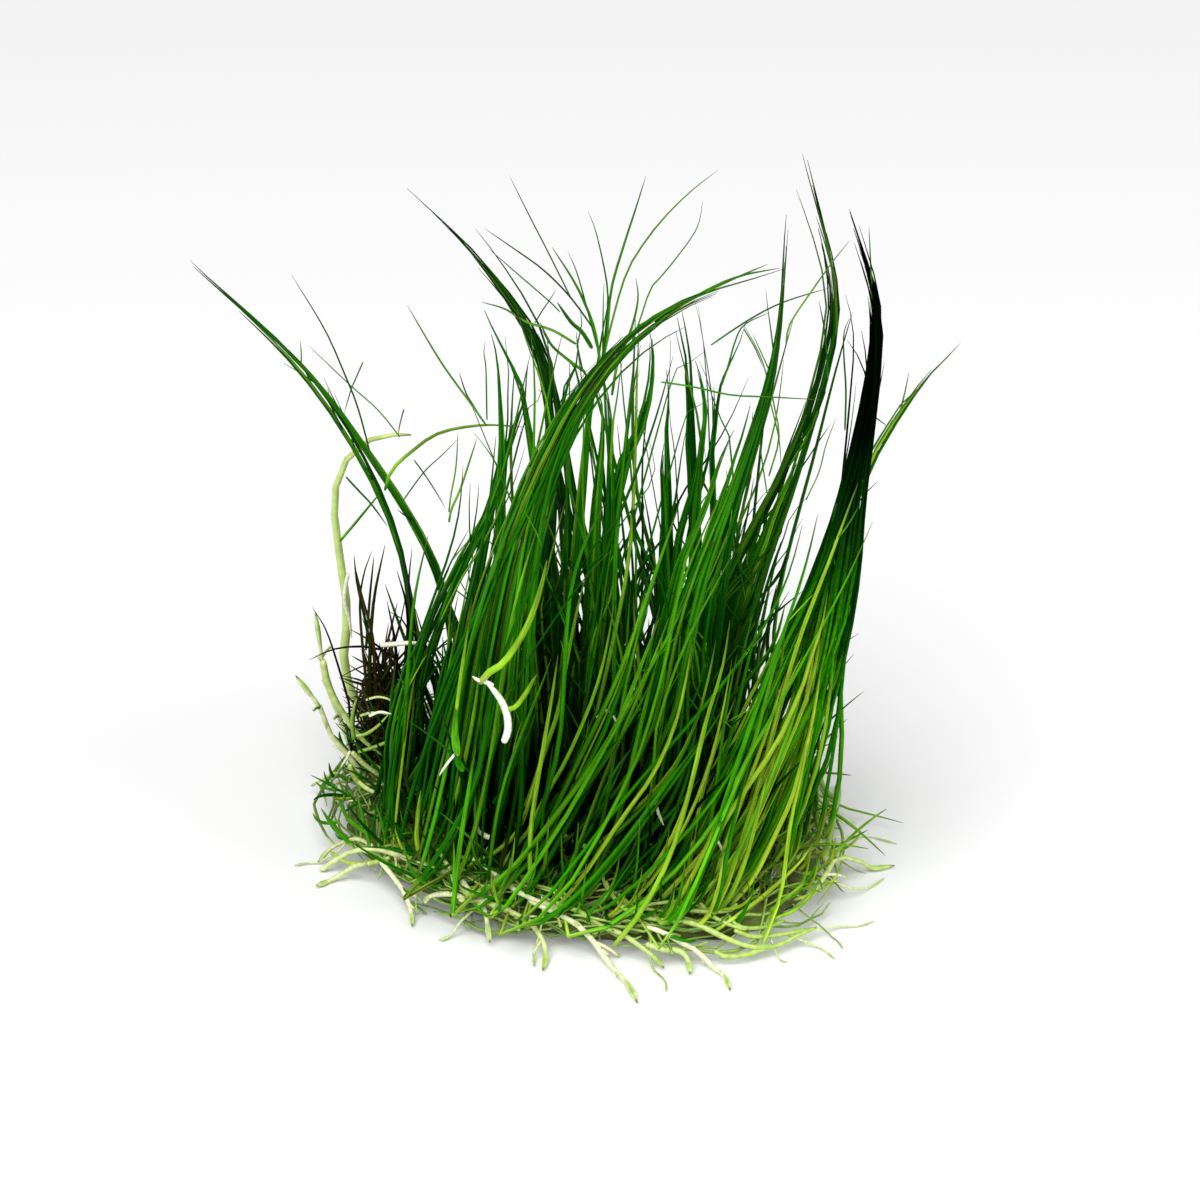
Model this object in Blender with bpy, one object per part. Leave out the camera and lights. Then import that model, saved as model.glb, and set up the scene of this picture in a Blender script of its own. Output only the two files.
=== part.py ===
"""A portion of dwarf hairgrass: a pad of roots and set gel with its tufts, runners and roots.

The model stands on the pad's flat underside. The origin is the middle of that underside, +Z is up and -Y is the
side that shows best. The values below are in millimetres, and the meshes are in metres.
"""

import math
import random

import bmesh
import bpy
from mathutils import Matrix, Vector

MM = 0.001
SEED = 7

# Where two pieces meet they keep this much room
GAP = 0.3

# The pad: an oval whose long axis runs from the back left to the front right
PAD_HALF_LENGTH = 30.0
PAD_HALF_WIDTH = 21.0
PAD_TURN = math.radians(-28)
PAD_SQUARENESS = 2.4
PAD_HEIGHT = 5.4
PAD_RIM_HEIGHT = 1.6
PAD_SIDES = 36
# The underside ends at this share of the radius
PAD_FOOT = 0.97
# How far out each ring of the pad's top lies, as a share of its radius
PAD_RINGS = (0.94, 0.82, 0.66, 0.48, 0.28)
PAD_LUMP = 0.35

# One tuft: a low crown with a blade on each of its sectors
CROWN_RADIUS = 1.3
CROWN_HEIGHT = 1.1
CROWN_INSET = 0.12
TUFT_BLADES = 5
TUFT_SPACING = 5.2
# The tufts of a wisp stand in a ring, and the first of them is turned this far from +X
RING_TURN = 0.4
# Half the width of a blade where it leaves the crown and at its tip
BLADE_BASE = 0.46
BLADE_TIP = 0.07
# How far a tuft's blades spread before the wisp draws them together, and the share of the height where they do
SPREAD = 2.3
SPREAD_AT = 0.25

# A root or runner lying free is this far out of the pad before it reaches the surface below
DROOP_RUN = 2.6

# Each wisp of tufts: foot on the pad (x, y), the points that its middle passes (x, y, z), the number of tufts,
# how close they come at the tip, the length of the shortest blade as a share, the number of blade stretches,
# and the colour of its blades
DEEP = (0.02, 0.13, 0.015)
MIDDLE = (0.045, 0.22, 0.02)
FRESH = (0.13, 0.36, 0.03)
WISPS = {
    "front_sweep": dict(
        foot=(-10.8, -6.5),
        path=((-9, -7.5, 20), (-6.8, -8.5, 34), (-2.9, -9, 48), (2.5, -9, 60), (9.5, -8.5, 69), (20.5, -7.5, 74)),
        tufts=4, gather=0.2, shortest=0.62, stretches=6, colour=MIDDLE),
    "left_body": dict(
        foot=(-16.4, 1.4),
        path=((-15.2, 1, 20), (-12.3, 0.4, 32.5), (-8.8, 0, 43.5), (-6.8, 0, 61.5)),
        tufts=2, gather=0.45, shortest=0.6, stretches=4, colour=MIDDLE),
    "left_front": dict(
        foot=(-18, -5),
        path=((-16.8, -6, 19), (-14.2, -6, 31.5), (-11, -6, 43), (-9.5, -5, 52)),
        tufts=2, gather=0.5, shortest=0.6, stretches=4, colour=FRESH),
    "left_lean": dict(
        foot=(-14.5, 10.5),
        path=((-16, 10.5, 18.6), (-17.6, 10.5, 29.5), (-22, 10.3, 40.5), (-29.3, 10, 53), (-40.5, 10, 65.5)),
        tufts=2, gather=0.22, shortest=0.6, stretches=6, colour=MIDDLE),
    "back_left_tall": dict(
        foot=(-1, 9),
        path=((-0.8, 8, 30), (-1.2, 7.5, 44), (-3.6, 7, 56.5), (-9.8, 7, 66.2), (-17.5, 7, 75.2)),
        tufts=2, gather=0.22, shortest=0.7, stretches=6, colour=DEEP),
    "centre_left": dict(
        foot=(-6.2, 1),
        path=((-5.6, 0.6, 25), (-4.5, 1, 42), (-4.2, 1.5, 54), (-5.5, 2, 64)),
        tufts=3, gather=0.5, shortest=0.6, stretches=4, colour=DEEP),
    "centre": dict(
        foot=(2, 1),
        path=((2.2, 1, 29), (2.1, 1, 48), (3.2, 1, 66)),
        tufts=2, gather=0.5, shortest=0.7, stretches=4, colour=DEEP),
    "centre_right": dict(
        foot=(4.4, -6),
        path=((4, -4.5, 26), (6, -3.2, 44), (7.7, -2, 64)),
        tufts=2, gather=0.45, shortest=0.65, stretches=4, colour=MIDDLE),
    "middle": dict(
        foot=(8.5, 6),
        path=((9, 5.5, 22), (12, 5, 37), (13.2, 5, 48), (11.7, 5, 61)),
        tufts=2, gather=0.45, shortest=0.65, stretches=4, colour=DEEP),
    "right_middle": dict(
        foot=(11.6, -9.4),
        path=((11.3, -8.4, 22), (12.9, -6, 36), (17.2, -4.8, 50), (20.3, -3.7, 62), (21.3, -3, 77.5)),
        tufts=3, gather=0.25, shortest=0.6, stretches=5, colour=MIDDLE),
    "right_tall": dict(
        foot=(15, 1.5),
        path=((15.3, 1.2, 20), (17.5, 1.5, 32), (22.5, 2, 45.5), (25.9, 2.2, 58), (26.3, 2.2, 67), (22.6, 2, 82)),
        tufts=2, gather=0.22, shortest=0.62, stretches=6, colour=DEEP),
    "right_edge": dict(
        foot=(21.5, -8),
        path=((23.3, -8, 17.5), (25.3, -7.5, 29.5), (27.8, -6.5, 45), (29.9, -5.5, 60), (30, -5, 68.5), (26.9, -5, 79)),
        tufts=4, gather=0.32, shortest=0.66, stretches=5, colour=DEEP),
    "far_right": dict(
        foot=(24.5, -0.5),
        path=((26, -1, 27), (28.4, -1.5, 39), (31.6, -2, 49), (36.3, -2, 58), (39.5, -2, 62.5)),
        tufts=1, gather=0.3, shortest=0.55, stretches=5, colour=MIDDLE),
    "front_centre": dict(
        foot=(2.5, -15),
        path=((4.5, -15, 20), (7.6, -14, 32), (10.6, -12.8, 41.5), (13.5, -12, 50)),
        tufts=3, gather=0.5, shortest=0.55, stretches=4, colour=FRESH),
    "front_right": dict(
        foot=(13.5, -17.5),
        path=((17, -17.5, 21), (20.4, -16.5, 34), (23.4, -15.5, 44), (25.5, -14.5, 53)),
        tufts=3, gather=0.5, shortest=0.55, stretches=4, colour=FRESH),
    "front_left": dict(
        foot=(-7.5, -14.5),
        path=((-6.6, -15, 20), (-4.2, -15, 34), (-1.2, -14.6, 46), (1.6, -14, 53)),
        tufts=2, gather=0.5, shortest=0.55, stretches=4, colour=FRESH),
    "back_centre": dict(
        foot=(5.5, 14.5),
        path=((6, 13.5, 25), (6.5, 12.5, 45), (7.5, 11.5, 58)),
        tufts=2, gather=0.5, shortest=0.65, stretches=4, colour=DEEP),
    "back_left_low": dict(
        foot=(-7.6, 16),
        path=((-8, 15.5, 20), (-7.6, 14.6, 36), (-6.4, 14, 50)),
        tufts=2, gather=0.5, shortest=0.65, stretches=4, colour=DEEP),
    "back_right": dict(
        foot=(16.5, 9.5),
        path=((18, 9, 22), (21, 8.5, 38), (24, 8, 52), (26.5, 8, 62)),
        tufts=2, gather=0.5, shortest=0.65, stretches=4, colour=DEEP),
}
# The brown shoots at the left end are a small wisp of their own
OLD_SHOOTS = dict(
    foot=(-22, 6),
    path=((-22, 6.4, 11), (-21.4, 6.8, 18), (-21, 7, 27)),
    tufts=1, gather=0.9, shortest=0.6, stretches=4, colour=(0.09, 0.02, 0.012))

# Runners and roots that lie over the pad's rim: the points they pass in plan, each with how far it is lifted
# off what is under it, their thickness, and the share of it that the bud at the end adds
LYING = {
    "runner_front_left": dict(
        route=((-28, -7.6, 0), (-25, -7.4, 0), (-22, -8.4, 0), (-19.4, -10, 0), (-15.6, -12.6, 0), (-12, -14.8, 0)),
        thick=0.9, bud=0.3),
    "root_front_a": dict(
        route=((-21.2, -10.2, 0), (-20.2, -11.6, 0), (-18.8, -13.6, 0), (-17.8, -16, 0), (-17.6, -18, 0)),
        thick=0.8, bud=0.5),
    "root_front_b": dict(
        route=((-12.6, -17, 0), (-9.6, -18, 0), (-7.4, -19.4, 0), (-4.8, -21, 0), (-3.4, -23.2, 0), (-3.6, -26, 0)),
        thick=0.9, bud=0.4),
    "root_front_long": dict(
        route=((-5.2, -18.7, 0), (-1.6, -20.7, 0), (1.2, -22.6, 0), (3.6, -25.4, 0), (5.4, -28.6, 0), (6.3, -31.6, 0)),
        thick=0.9, bud=0.4),
    "root_front_right": dict(
        route=((7.2, -22.2, 0), (10.4, -23.4, 0), (13.4, -24.8, 0), (15.4, -26.8, 0), (16, -29.4, 0)),
        thick=0.8, bud=0.5),
    "runner_right": dict(
        route=((24.4, -17, 0), (26.4, -13.4, 0), (27.8, -10, 0), (30.6, -8, 0), (34.4, -6.8, 0)),
        thick=0.8, bud=0.4),
}

# Stems that stand free: foot on the pad (x, y) and the points that they pass (x, y, z)
STANDING = {
    "pale_stem": dict(
        foot=(-22.8, 13.2),
        path=((-25.2, 14, 9), (-26, 14, 13.5), (-25.4, 14, 19.5), (-26, 14, 26.5), (-26.4, 14, 34.5),
              (-24.4, 14, 40), (-21.2, 14, 42), (-17.9, 14, 42.2)),
        thick=1.05, bud=0.0),
    "runner_left": dict(
        foot=(-23.4, 5),
        path=((-25.6, 5, 5.6), (-28.2, 5, 8.4), (-29, 5, 11.6), (-30.4, 5, 15.2)),
        thick=0.9, bud=0.3),
    "runner_left_up": dict(
        foot=(-24.6, 8.4),
        path=((-26.4, 8.6, 9.6), (-27.8, 8.8, 14), (-28.2, 9, 18.6), (-28.6, 9.2, 22.8)),
        thick=0.8, bud=0.5),
}

# The shoot caught in the front blades: its blade, and the white stem that hangs from its swollen foot
LOOSE_SHOOT = dict(
    route=((-8.2, -18.1, 22.6), (-8, -18.1, 25), (-8.4, -18.1, 27.6), (-9.6, -18.1, 29.8), (-8.4, -18.1, 32.2),
           (-6.6, -17.8, 35.2), (-5, -17.8, 40), (-3, -17.6, 45.6)),
    thick=0.95, bud=0.0)

# The lumps of clear gel: middle in plan, half length, half width and height
GELS = {
    "gel_right": dict(middle=(20.6, -15.2), half=(2.3, 2.0), height=2.2),
    "gel_left": dict(middle=(-19.6, 13.6), half=(0.9, 0.9), height=1.2),
}

# The share of a gel lump's height where it is widest
GEL_BELLY = 0.25

# The height of a stem's foot above the pad's form
STEM_REST = 0.6

# Stretches in a root's or stem's length, and its tip's thickness as a share
ROOT_STEPS = 9
ROOT_TIP = 0.35
ROOT_COLOUR = (0.72, 0.74, 0.42)
STEM_COLOUR = (0.52, 0.68, 0.24)
PAD_COLOUR = (0.10, 0.13, 0.04)
GEL_COLOUR = (0.75, 0.78, 0.68)
PAD_ROUGHNESS = 0.6
WET_ROUGHNESS = 0.35
GEL_ROUGHNESS = 0.1


def clear_scene():
    for thing in list(bpy.data.objects):
        bpy.data.objects.remove(thing)


def material(name, colour, roughness):
    made = bpy.data.materials.new(name)
    made.use_nodes = True
    shader = made.node_tree.nodes["Principled BSDF"]
    shader.inputs["Base Color"].default_value = (*colour, 1)
    shader.inputs["Roughness"].default_value = roughness
    shader.inputs["Metallic"].default_value = 0
    made.diffuse_color = (*colour, 1)
    return made


def add_object(name, mesh_edit, colour, roughness):
    """The millimetre mesh as a named object in metres, with its own material."""
    bmesh.ops.recalc_face_normals(mesh_edit, faces=mesh_edit.faces)
    bmesh.ops.scale(mesh_edit, vec=(MM, MM, MM), verts=mesh_edit.verts)
    mesh = bpy.data.meshes.new(name)
    mesh_edit.to_mesh(mesh)
    mesh_edit.free()
    made = bpy.data.objects.new(name, mesh)
    mesh.materials.append(material(name + "_surface", colour, roughness))
    bpy.context.collection.objects.link(made)


# The pad's form


def pad_radius(angle):
    """The pad's radius in the direction of an angle that is measured from its long axis."""
    along = abs(math.cos(angle) / PAD_HALF_LENGTH) ** PAD_SQUARENESS
    across = abs(math.sin(angle) / PAD_HALF_WIDTH) ** PAD_SQUARENESS
    bays = 1 + 0.03 * math.sin(3 * angle + 1) + 0.02 * math.sin(5 * angle + 2.2)
    return (along + across) ** (-1 / PAD_SQUARENESS) * bays


def pad_height(x, y):
    """The height of the pad's top at a place in plan."""
    angle = math.atan2(y, x) - PAD_TURN
    share = min(1.0, math.hypot(x, y) / pad_radius(angle))
    dome = (1 - share**3) ** 0.6
    lumps = PAD_LUMP * math.sin(0.55 * x + 1) * math.cos(0.5 * y) * (1 - share**2)
    return PAD_RIM_HEIGHT + (PAD_HEIGHT - PAD_RIM_HEIGHT) * dome + lumps


def pad_point(step, share, height=None):
    angle = 2 * math.pi * step / PAD_SIDES
    reach = pad_radius(angle) * share
    x = reach * math.cos(angle + PAD_TURN)
    y = reach * math.sin(angle + PAD_TURN)
    return Vector((x, y, pad_height(x, y) if height is None else height))


def extruded_to(edit, face, points):
    """The face pushed out into a new one whose corners stand at the given points."""
    new = bmesh.ops.extrude_discrete_faces(edit, faces=[face])["faces"][0]
    for corner, point in zip(new.verts, points):
        corner.co = point
    return new


def add_pad():
    edit = bmesh.new()
    foot = [edit.verts.new(pad_point(step, PAD_FOOT, 0)) for step in range(PAD_SIDES)]
    bottom = edit.faces.new(foot)
    top = bottom.copy(verts=False, edges=False)
    for share in (1.0,) + PAD_RINGS:
        top = extruded_to(edit, top, [pad_point(step, share) for step in range(PAD_SIDES)])
    bmesh.ops.poke(edit, faces=[top])
    bmesh.ops.triangulate(edit, faces=edit.faces)
    add_object("root_mat", edit, PAD_COLOUR, PAD_ROUGHNESS)


# Smooth lines through points


def smooth_line(points, samples=60):
    """Many points on a smooth curve that passes the given ones."""
    points = [Vector(point) for point in points]
    points = [2 * points[0] - points[1]] + points + [2 * points[-1] - points[-2]]
    line = []
    stretches = len(points) - 3
    for sample in range(samples + 1):
        place = min(sample * stretches / samples, stretches - 1e-6)
        first = int(place)
        t = place - first
        a, b, c, d = points[first : first + 4]
        line.append(
            0.5 * (2 * b + (c - a) * t + (2 * a - 5 * b + 4 * c - d) * t * t + (3 * b - a - 3 * c + d) * t**3)
        )
    return line


def evenly(line, count):
    """Points at equal steps along a line, both ends among them."""
    lengths = [0.0]
    for start, end in zip(line, line[1:]):
        lengths.append(lengths[-1] + (end - start).length)
    points = []
    index = 0
    for step in range(count + 1):
        want = lengths[-1] * step / count
        while index < len(line) - 2 and lengths[index + 1] < want:
            index += 1
        t = (want - lengths[index]) / (lengths[index + 1] - lengths[index])
        points.append(line[index].lerp(line[index + 1], min(1.0, t)))
    return points


# Tufts


def tuft_feet(wisp):
    """Each tuft's place from the middle of its wisp."""
    count = wisp["tufts"]
    if count == 1:
        return [Vector((0, 0))]
    radius = TUFT_SPACING / (2 * math.sin(math.pi / count))
    turns = [RING_TURN + 2 * math.pi * number / count for number in range(count)]
    return [Vector((radius * math.cos(turn), radius * math.sin(turn))) for turn in turns]


def wisp_line(wisp):
    """The wisp's middle at each of its knots, and the two directions across it there."""
    foot_x, foot_y = wisp["foot"]
    start = (foot_x, foot_y, pad_height(foot_x, foot_y) + GAP + CROWN_HEIGHT)
    knots = evenly(smooth_line((start,) + wisp["path"]), wisp["stretches"])
    frames = []
    for index, knot in enumerate(knots):
        ahead = knots[min(index + 1, len(knots) - 1)] - knots[max(index - 1, 0)]
        along = ahead.normalized() if index else Vector((0, 0, 1))
        across = Vector((1, 0, 0)) - along.x * along
        back = Vector((0, 1, 0)) - along.y * along
        frames.append((knot, across.normalized(), back.normalized()))
    return frames


def gathered(share, gather):
    """How close the tufts have drawn together at a share of the wisp's length."""
    eased = share * share * (3 - 2 * share)
    return 1 + (gather - 1) * eased


def fanned(share, gather):
    """The same for the blades of one tuft, which first spread from their crown."""
    rise = math.sin(min(share / SPREAD_AT, 1) * math.pi / 2)
    return (1 + (SPREAD - 1) * rise) * gathered(share, gather)


def blade_width(share, end):
    """Half the blade's width at a share of the wisp's length, for a blade that stops at the end share."""
    left = 1 - share / end
    return BLADE_TIP + (BLADE_BASE - BLADE_TIP) * left**0.7


def add_tuft(name, wisp, frames, foot, ends, colour):
    """A crown on the pad, with one blade from each of its sectors."""
    edit = bmesh.new()
    centre = Vector(wisp["foot"]) + foot
    under = [
        pad_height(centre.x + CROWN_RADIUS * math.cos(turn), centre.y + CROWN_RADIUS * math.sin(turn))
        for turn in (n * math.pi / 4 for n in range(8))
    ]
    floor = max(under + [pad_height(*centre)]) + GAP
    place = Matrix.Translation((centre.x, centre.y, floor))
    bmesh.ops.create_circle(
        edit, cap_ends=True, cap_tris=True, segments=TUFT_BLADES, radius=CROWN_RADIUS, matrix=place
    )
    lifted = bmesh.ops.extrude_face_region(edit, geom=list(edit.faces))["geom"]
    for part in lifted:
        if isinstance(part, bmesh.types.BMVert):
            part.co.z += CROWN_HEIGHT
    sectors = [part for part in lifted if isinstance(part, bmesh.types.BMFace)]
    bmesh.ops.recalc_face_normals(edit, faces=edit.faces)
    bmesh.ops.inset_individual(edit, faces=sectors, thickness=CROWN_INSET)
    for face, end in zip(sectors, ends):
        add_blade(edit, face, wisp, frames, foot, centre, end)
    add_object(name, edit, colour, WET_ROUGHNESS)


def add_blade(edit, face, wisp, frames, foot, centre, end):
    """One tapering three-sided blade that follows the wisp from the crown's sector."""
    middle = face.calc_center_median()
    start = Vector((middle.x - centre.x, middle.y - centre.y))
    corners = [(corner.co - middle).normalized() for corner in face.verts]
    drop = middle.z - frames[0][0].z
    stretches = len(frames) - 1
    shares = [knot / stretches for knot in range(1, stretches) if knot / stretches < end - 0.03] + [end]
    for share in shares:
        index = min(int(share * stretches), stretches - 1)
        t = share * stretches - index
        point, across, back = (a.lerp(b, t) for a, b in zip(frames[index], frames[index + 1]))
        aside = foot * gathered(share, wisp["gather"]) + start * fanned(share, wisp["gather"])
        spine = point + aside.x * across + aside.y * back + Vector((0, 0, drop * (1 - share)))
        half = blade_width(share, end)
        face = extruded_to(
            edit, face, [spine + half * (corner.x * across + corner.y * back) for corner in corners]
        )


def add_wisp(name, wisp, dice):
    """All tufts of a wisp: the first blade of the first tuft reaches the wisp's tip."""
    frames = wisp_line(wisp)
    feet = tuft_feet(wisp)
    for number, foot in enumerate(feet, 1):
        ends = [dice.uniform(wisp["shortest"], 0.97) for _ in range(TUFT_BLADES)]
        if number == 1:
            ends[0] = 1.0
        tuft = name if len(feet) == 1 else f"{name}_{number}"
        add_tuft(tuft, wisp, frames, foot, ends, wisp["colour"])


# Roots, runners and stems


def draped(x, y, lift, half, low):
    """The height of a lying root's middle: over the pad, down past its rim, and at its lowest on the surface."""
    clear = half + GAP
    reach = math.hypot(x, y)
    angle = math.atan2(y, x) - PAD_TURN
    past = reach - clear - pad_radius(angle)
    if past < 0:
        inward = (reach - clear) / reach
        return pad_height(x * inward, y * inward) + clear + lift
    top = PAD_RIM_HEIGHT + clear
    fall = max(0.0, 1 - past / DROOP_RUN)
    return max(low, top * fall * fall * (3 - 2 * fall)) + lift


def add_strand(name, line, thick, bud, colour):
    """A root or stem as a bevelled curve that swells at its end and closes in a point."""
    data = bpy.data.curves.new(name, "CURVE")
    data.dimensions = "3D"
    data.bevel_depth = thick / 2 * MM
    data.bevel_resolution = 1
    data.use_fill_caps = True
    spline = data.splines.new("POLY")
    spline.points.add(len(line) - 1)
    last = len(line) - 1
    for index, (knot, point) in enumerate(zip(spline.points, line)):
        knot.co = (*(point * MM), 1)
        knot.radius = 1.0
        if index == last - 1:
            knot.radius = 1 + bud
        if index == last:
            knot.radius = ROOT_TIP
    data.materials.append(material(name + "_surface", colour, WET_ROUGHNESS))
    bpy.context.collection.objects.link(bpy.data.objects.new(name, data))


def add_lying(name, strand):
    half = strand["thick"] / 2
    low = half * (1 + strand["bud"])
    line = [Vector((p.x, p.y, draped(p.x, p.y, p.z, half, low))) for p in smooth_line(strand["route"])]
    add_strand(name, evenly(line, ROOT_STEPS), strand["thick"], strand["bud"], ROOT_COLOUR)


def add_standing(name, strand, colour):
    foot_x, foot_y = strand["foot"]
    start = (foot_x, foot_y, pad_height(foot_x, foot_y) + STEM_REST)
    line = smooth_line((start,) + strand["path"])
    add_strand(name, evenly(line, ROOT_STEPS), strand["thick"], strand["bud"], colour)


def add_loose_shoot(name, strand):
    line = evenly(smooth_line(strand["route"]), ROOT_STEPS)
    add_strand(name, line, strand["thick"], strand["bud"], STEM_COLOUR)


# Gel


def add_gel(name, gel):
    """A low clear drop that sits on the pad."""
    edit = bmesh.new()
    x, y = gel["middle"]
    rest = max(
        pad_height(x + gel["half"][0] * math.cos(turn), y + gel["half"][1] * math.sin(turn))
        for turn in (n * math.pi / 6 for n in range(12))
    )
    rest = max(rest, pad_height(x, y)) + GAP
    bmesh.ops.create_icosphere(edit, subdivisions=2, radius=1)
    for corner in edit.verts:
        low = corner.co.z < 0
        corner.co.x = x + corner.co.x * gel["half"][0]
        corner.co.y = y + corner.co.y * gel["half"][1]
        share = GEL_BELLY * (1 + corner.co.z) if low else GEL_BELLY + (1 - GEL_BELLY) * corner.co.z
        corner.co.z = rest + share * gel["height"]
    add_object(name, edit, GEL_COLOUR, GEL_ROUGHNESS)


def build():
    clear_scene()
    dice = random.Random(SEED)
    add_pad()
    for name, wisp in WISPS.items():
        add_wisp(name, wisp, dice)
    add_wisp("old_shoots", OLD_SHOOTS, dice)
    for name, strand in LYING.items():
        add_lying(name, strand)
    for name, strand in STANDING.items():
        add_standing(name, strand, STEM_COLOUR if name == "pale_stem" else ROOT_COLOUR)
    add_loose_shoot("loose_shoot", LOOSE_SHOOT)
    for name, gel in GELS.items():
        add_gel(name, gel)


build()
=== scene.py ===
"""The looks of a portion of dwarf hairgrass: blades, runners, roots, gel and the studio that shows them.

Lengths in the tables and functions are in millimetres, and the finished meshes are in metres. Every form
follows the solids of the frame: the wisps, roots and stems are laid out as there, with finer pieces on them.
"""

import math

import bpy
import numpy as np
from bpy.props import FloatProperty, FloatVectorProperty, IntProperty, PointerProperty
from bpy.types import Operator, Panel, PropertyGroup
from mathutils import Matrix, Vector, noise


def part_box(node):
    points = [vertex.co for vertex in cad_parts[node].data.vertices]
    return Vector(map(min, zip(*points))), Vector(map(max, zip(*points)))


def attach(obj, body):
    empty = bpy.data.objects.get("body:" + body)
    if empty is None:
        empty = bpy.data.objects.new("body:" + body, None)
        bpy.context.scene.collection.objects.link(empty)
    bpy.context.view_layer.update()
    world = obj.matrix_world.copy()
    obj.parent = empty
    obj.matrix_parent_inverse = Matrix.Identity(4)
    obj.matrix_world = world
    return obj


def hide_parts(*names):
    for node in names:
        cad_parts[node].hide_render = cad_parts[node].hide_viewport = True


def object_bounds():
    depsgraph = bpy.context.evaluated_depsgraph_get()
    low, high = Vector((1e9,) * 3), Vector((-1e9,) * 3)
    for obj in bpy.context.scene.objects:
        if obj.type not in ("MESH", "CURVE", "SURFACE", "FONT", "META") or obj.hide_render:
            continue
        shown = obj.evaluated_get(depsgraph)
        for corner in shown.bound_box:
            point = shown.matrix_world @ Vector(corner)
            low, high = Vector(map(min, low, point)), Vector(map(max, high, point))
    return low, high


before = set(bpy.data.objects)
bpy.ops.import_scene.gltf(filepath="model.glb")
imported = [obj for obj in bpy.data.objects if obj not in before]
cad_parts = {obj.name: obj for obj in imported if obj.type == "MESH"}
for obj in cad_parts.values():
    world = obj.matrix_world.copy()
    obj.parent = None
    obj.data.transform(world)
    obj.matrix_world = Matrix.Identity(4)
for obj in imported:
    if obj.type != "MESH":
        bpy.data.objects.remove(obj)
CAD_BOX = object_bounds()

bl_info = {
    "name": "Dwarf Hairgrass Portion",
    "version": (1, 0, 0),
    "blender": (4, 5, 0),
    "location": "3D View > Sidebar > Hairgrass",
    "description": "Grows the blades, runners, roots and gel of a portion of dwarf hairgrass",
    "category": "Add Mesh",
}

MM = 0.001
SEED = 11
FULL_TURN = 2 * math.pi

# The camera looks down on the tuft from the front. It is placed in millimetres, and the picture is 1200 wide
ELEVATION = math.radians(32)
CAMERA_DISTANCE = 500.0
LOOKED_AT = (2.4, 0.0, 30.0)
LENS = 141.0
SENSOR = 36.0
PICTURE = 1200

# The pad's form
PAD_HALF_LENGTH = 30.0
PAD_HALF_WIDTH = 21.0
PAD_TURN = math.radians(-28)
PAD_SQUARENESS = 2.4
PAD_HEIGHT = 5.4
PAD_RIM_HEIGHT = 1.6
PAD_LUMP = 0.35

# The ring in which a wisp's tufts stand
CROWN_TOP = 1.4
TUFT_SPACING = 5.2
RING_TURN = 0.4
KNOTS = 60
# A wisp whose tufts stay further apart than this at its tip opens into several locks
PARTED_FROM = 0.4
# How far out on the pad a blade's foot may stand, as a share of the pad's radius
FOOT_SHARE = 0.74
# How far the blades' feet stray from where their tuft would set them
FOOT_SCATTER = 1.7
# Where along its length a blade that creeps outward lies lowest
CREEP_SHARE = 0.09
# The heights between which the blades at the right edge are painted black, a painted shade of tops lit from
# behind
EDGE_SHADE = (36 * MM, 54 * MM)
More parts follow.
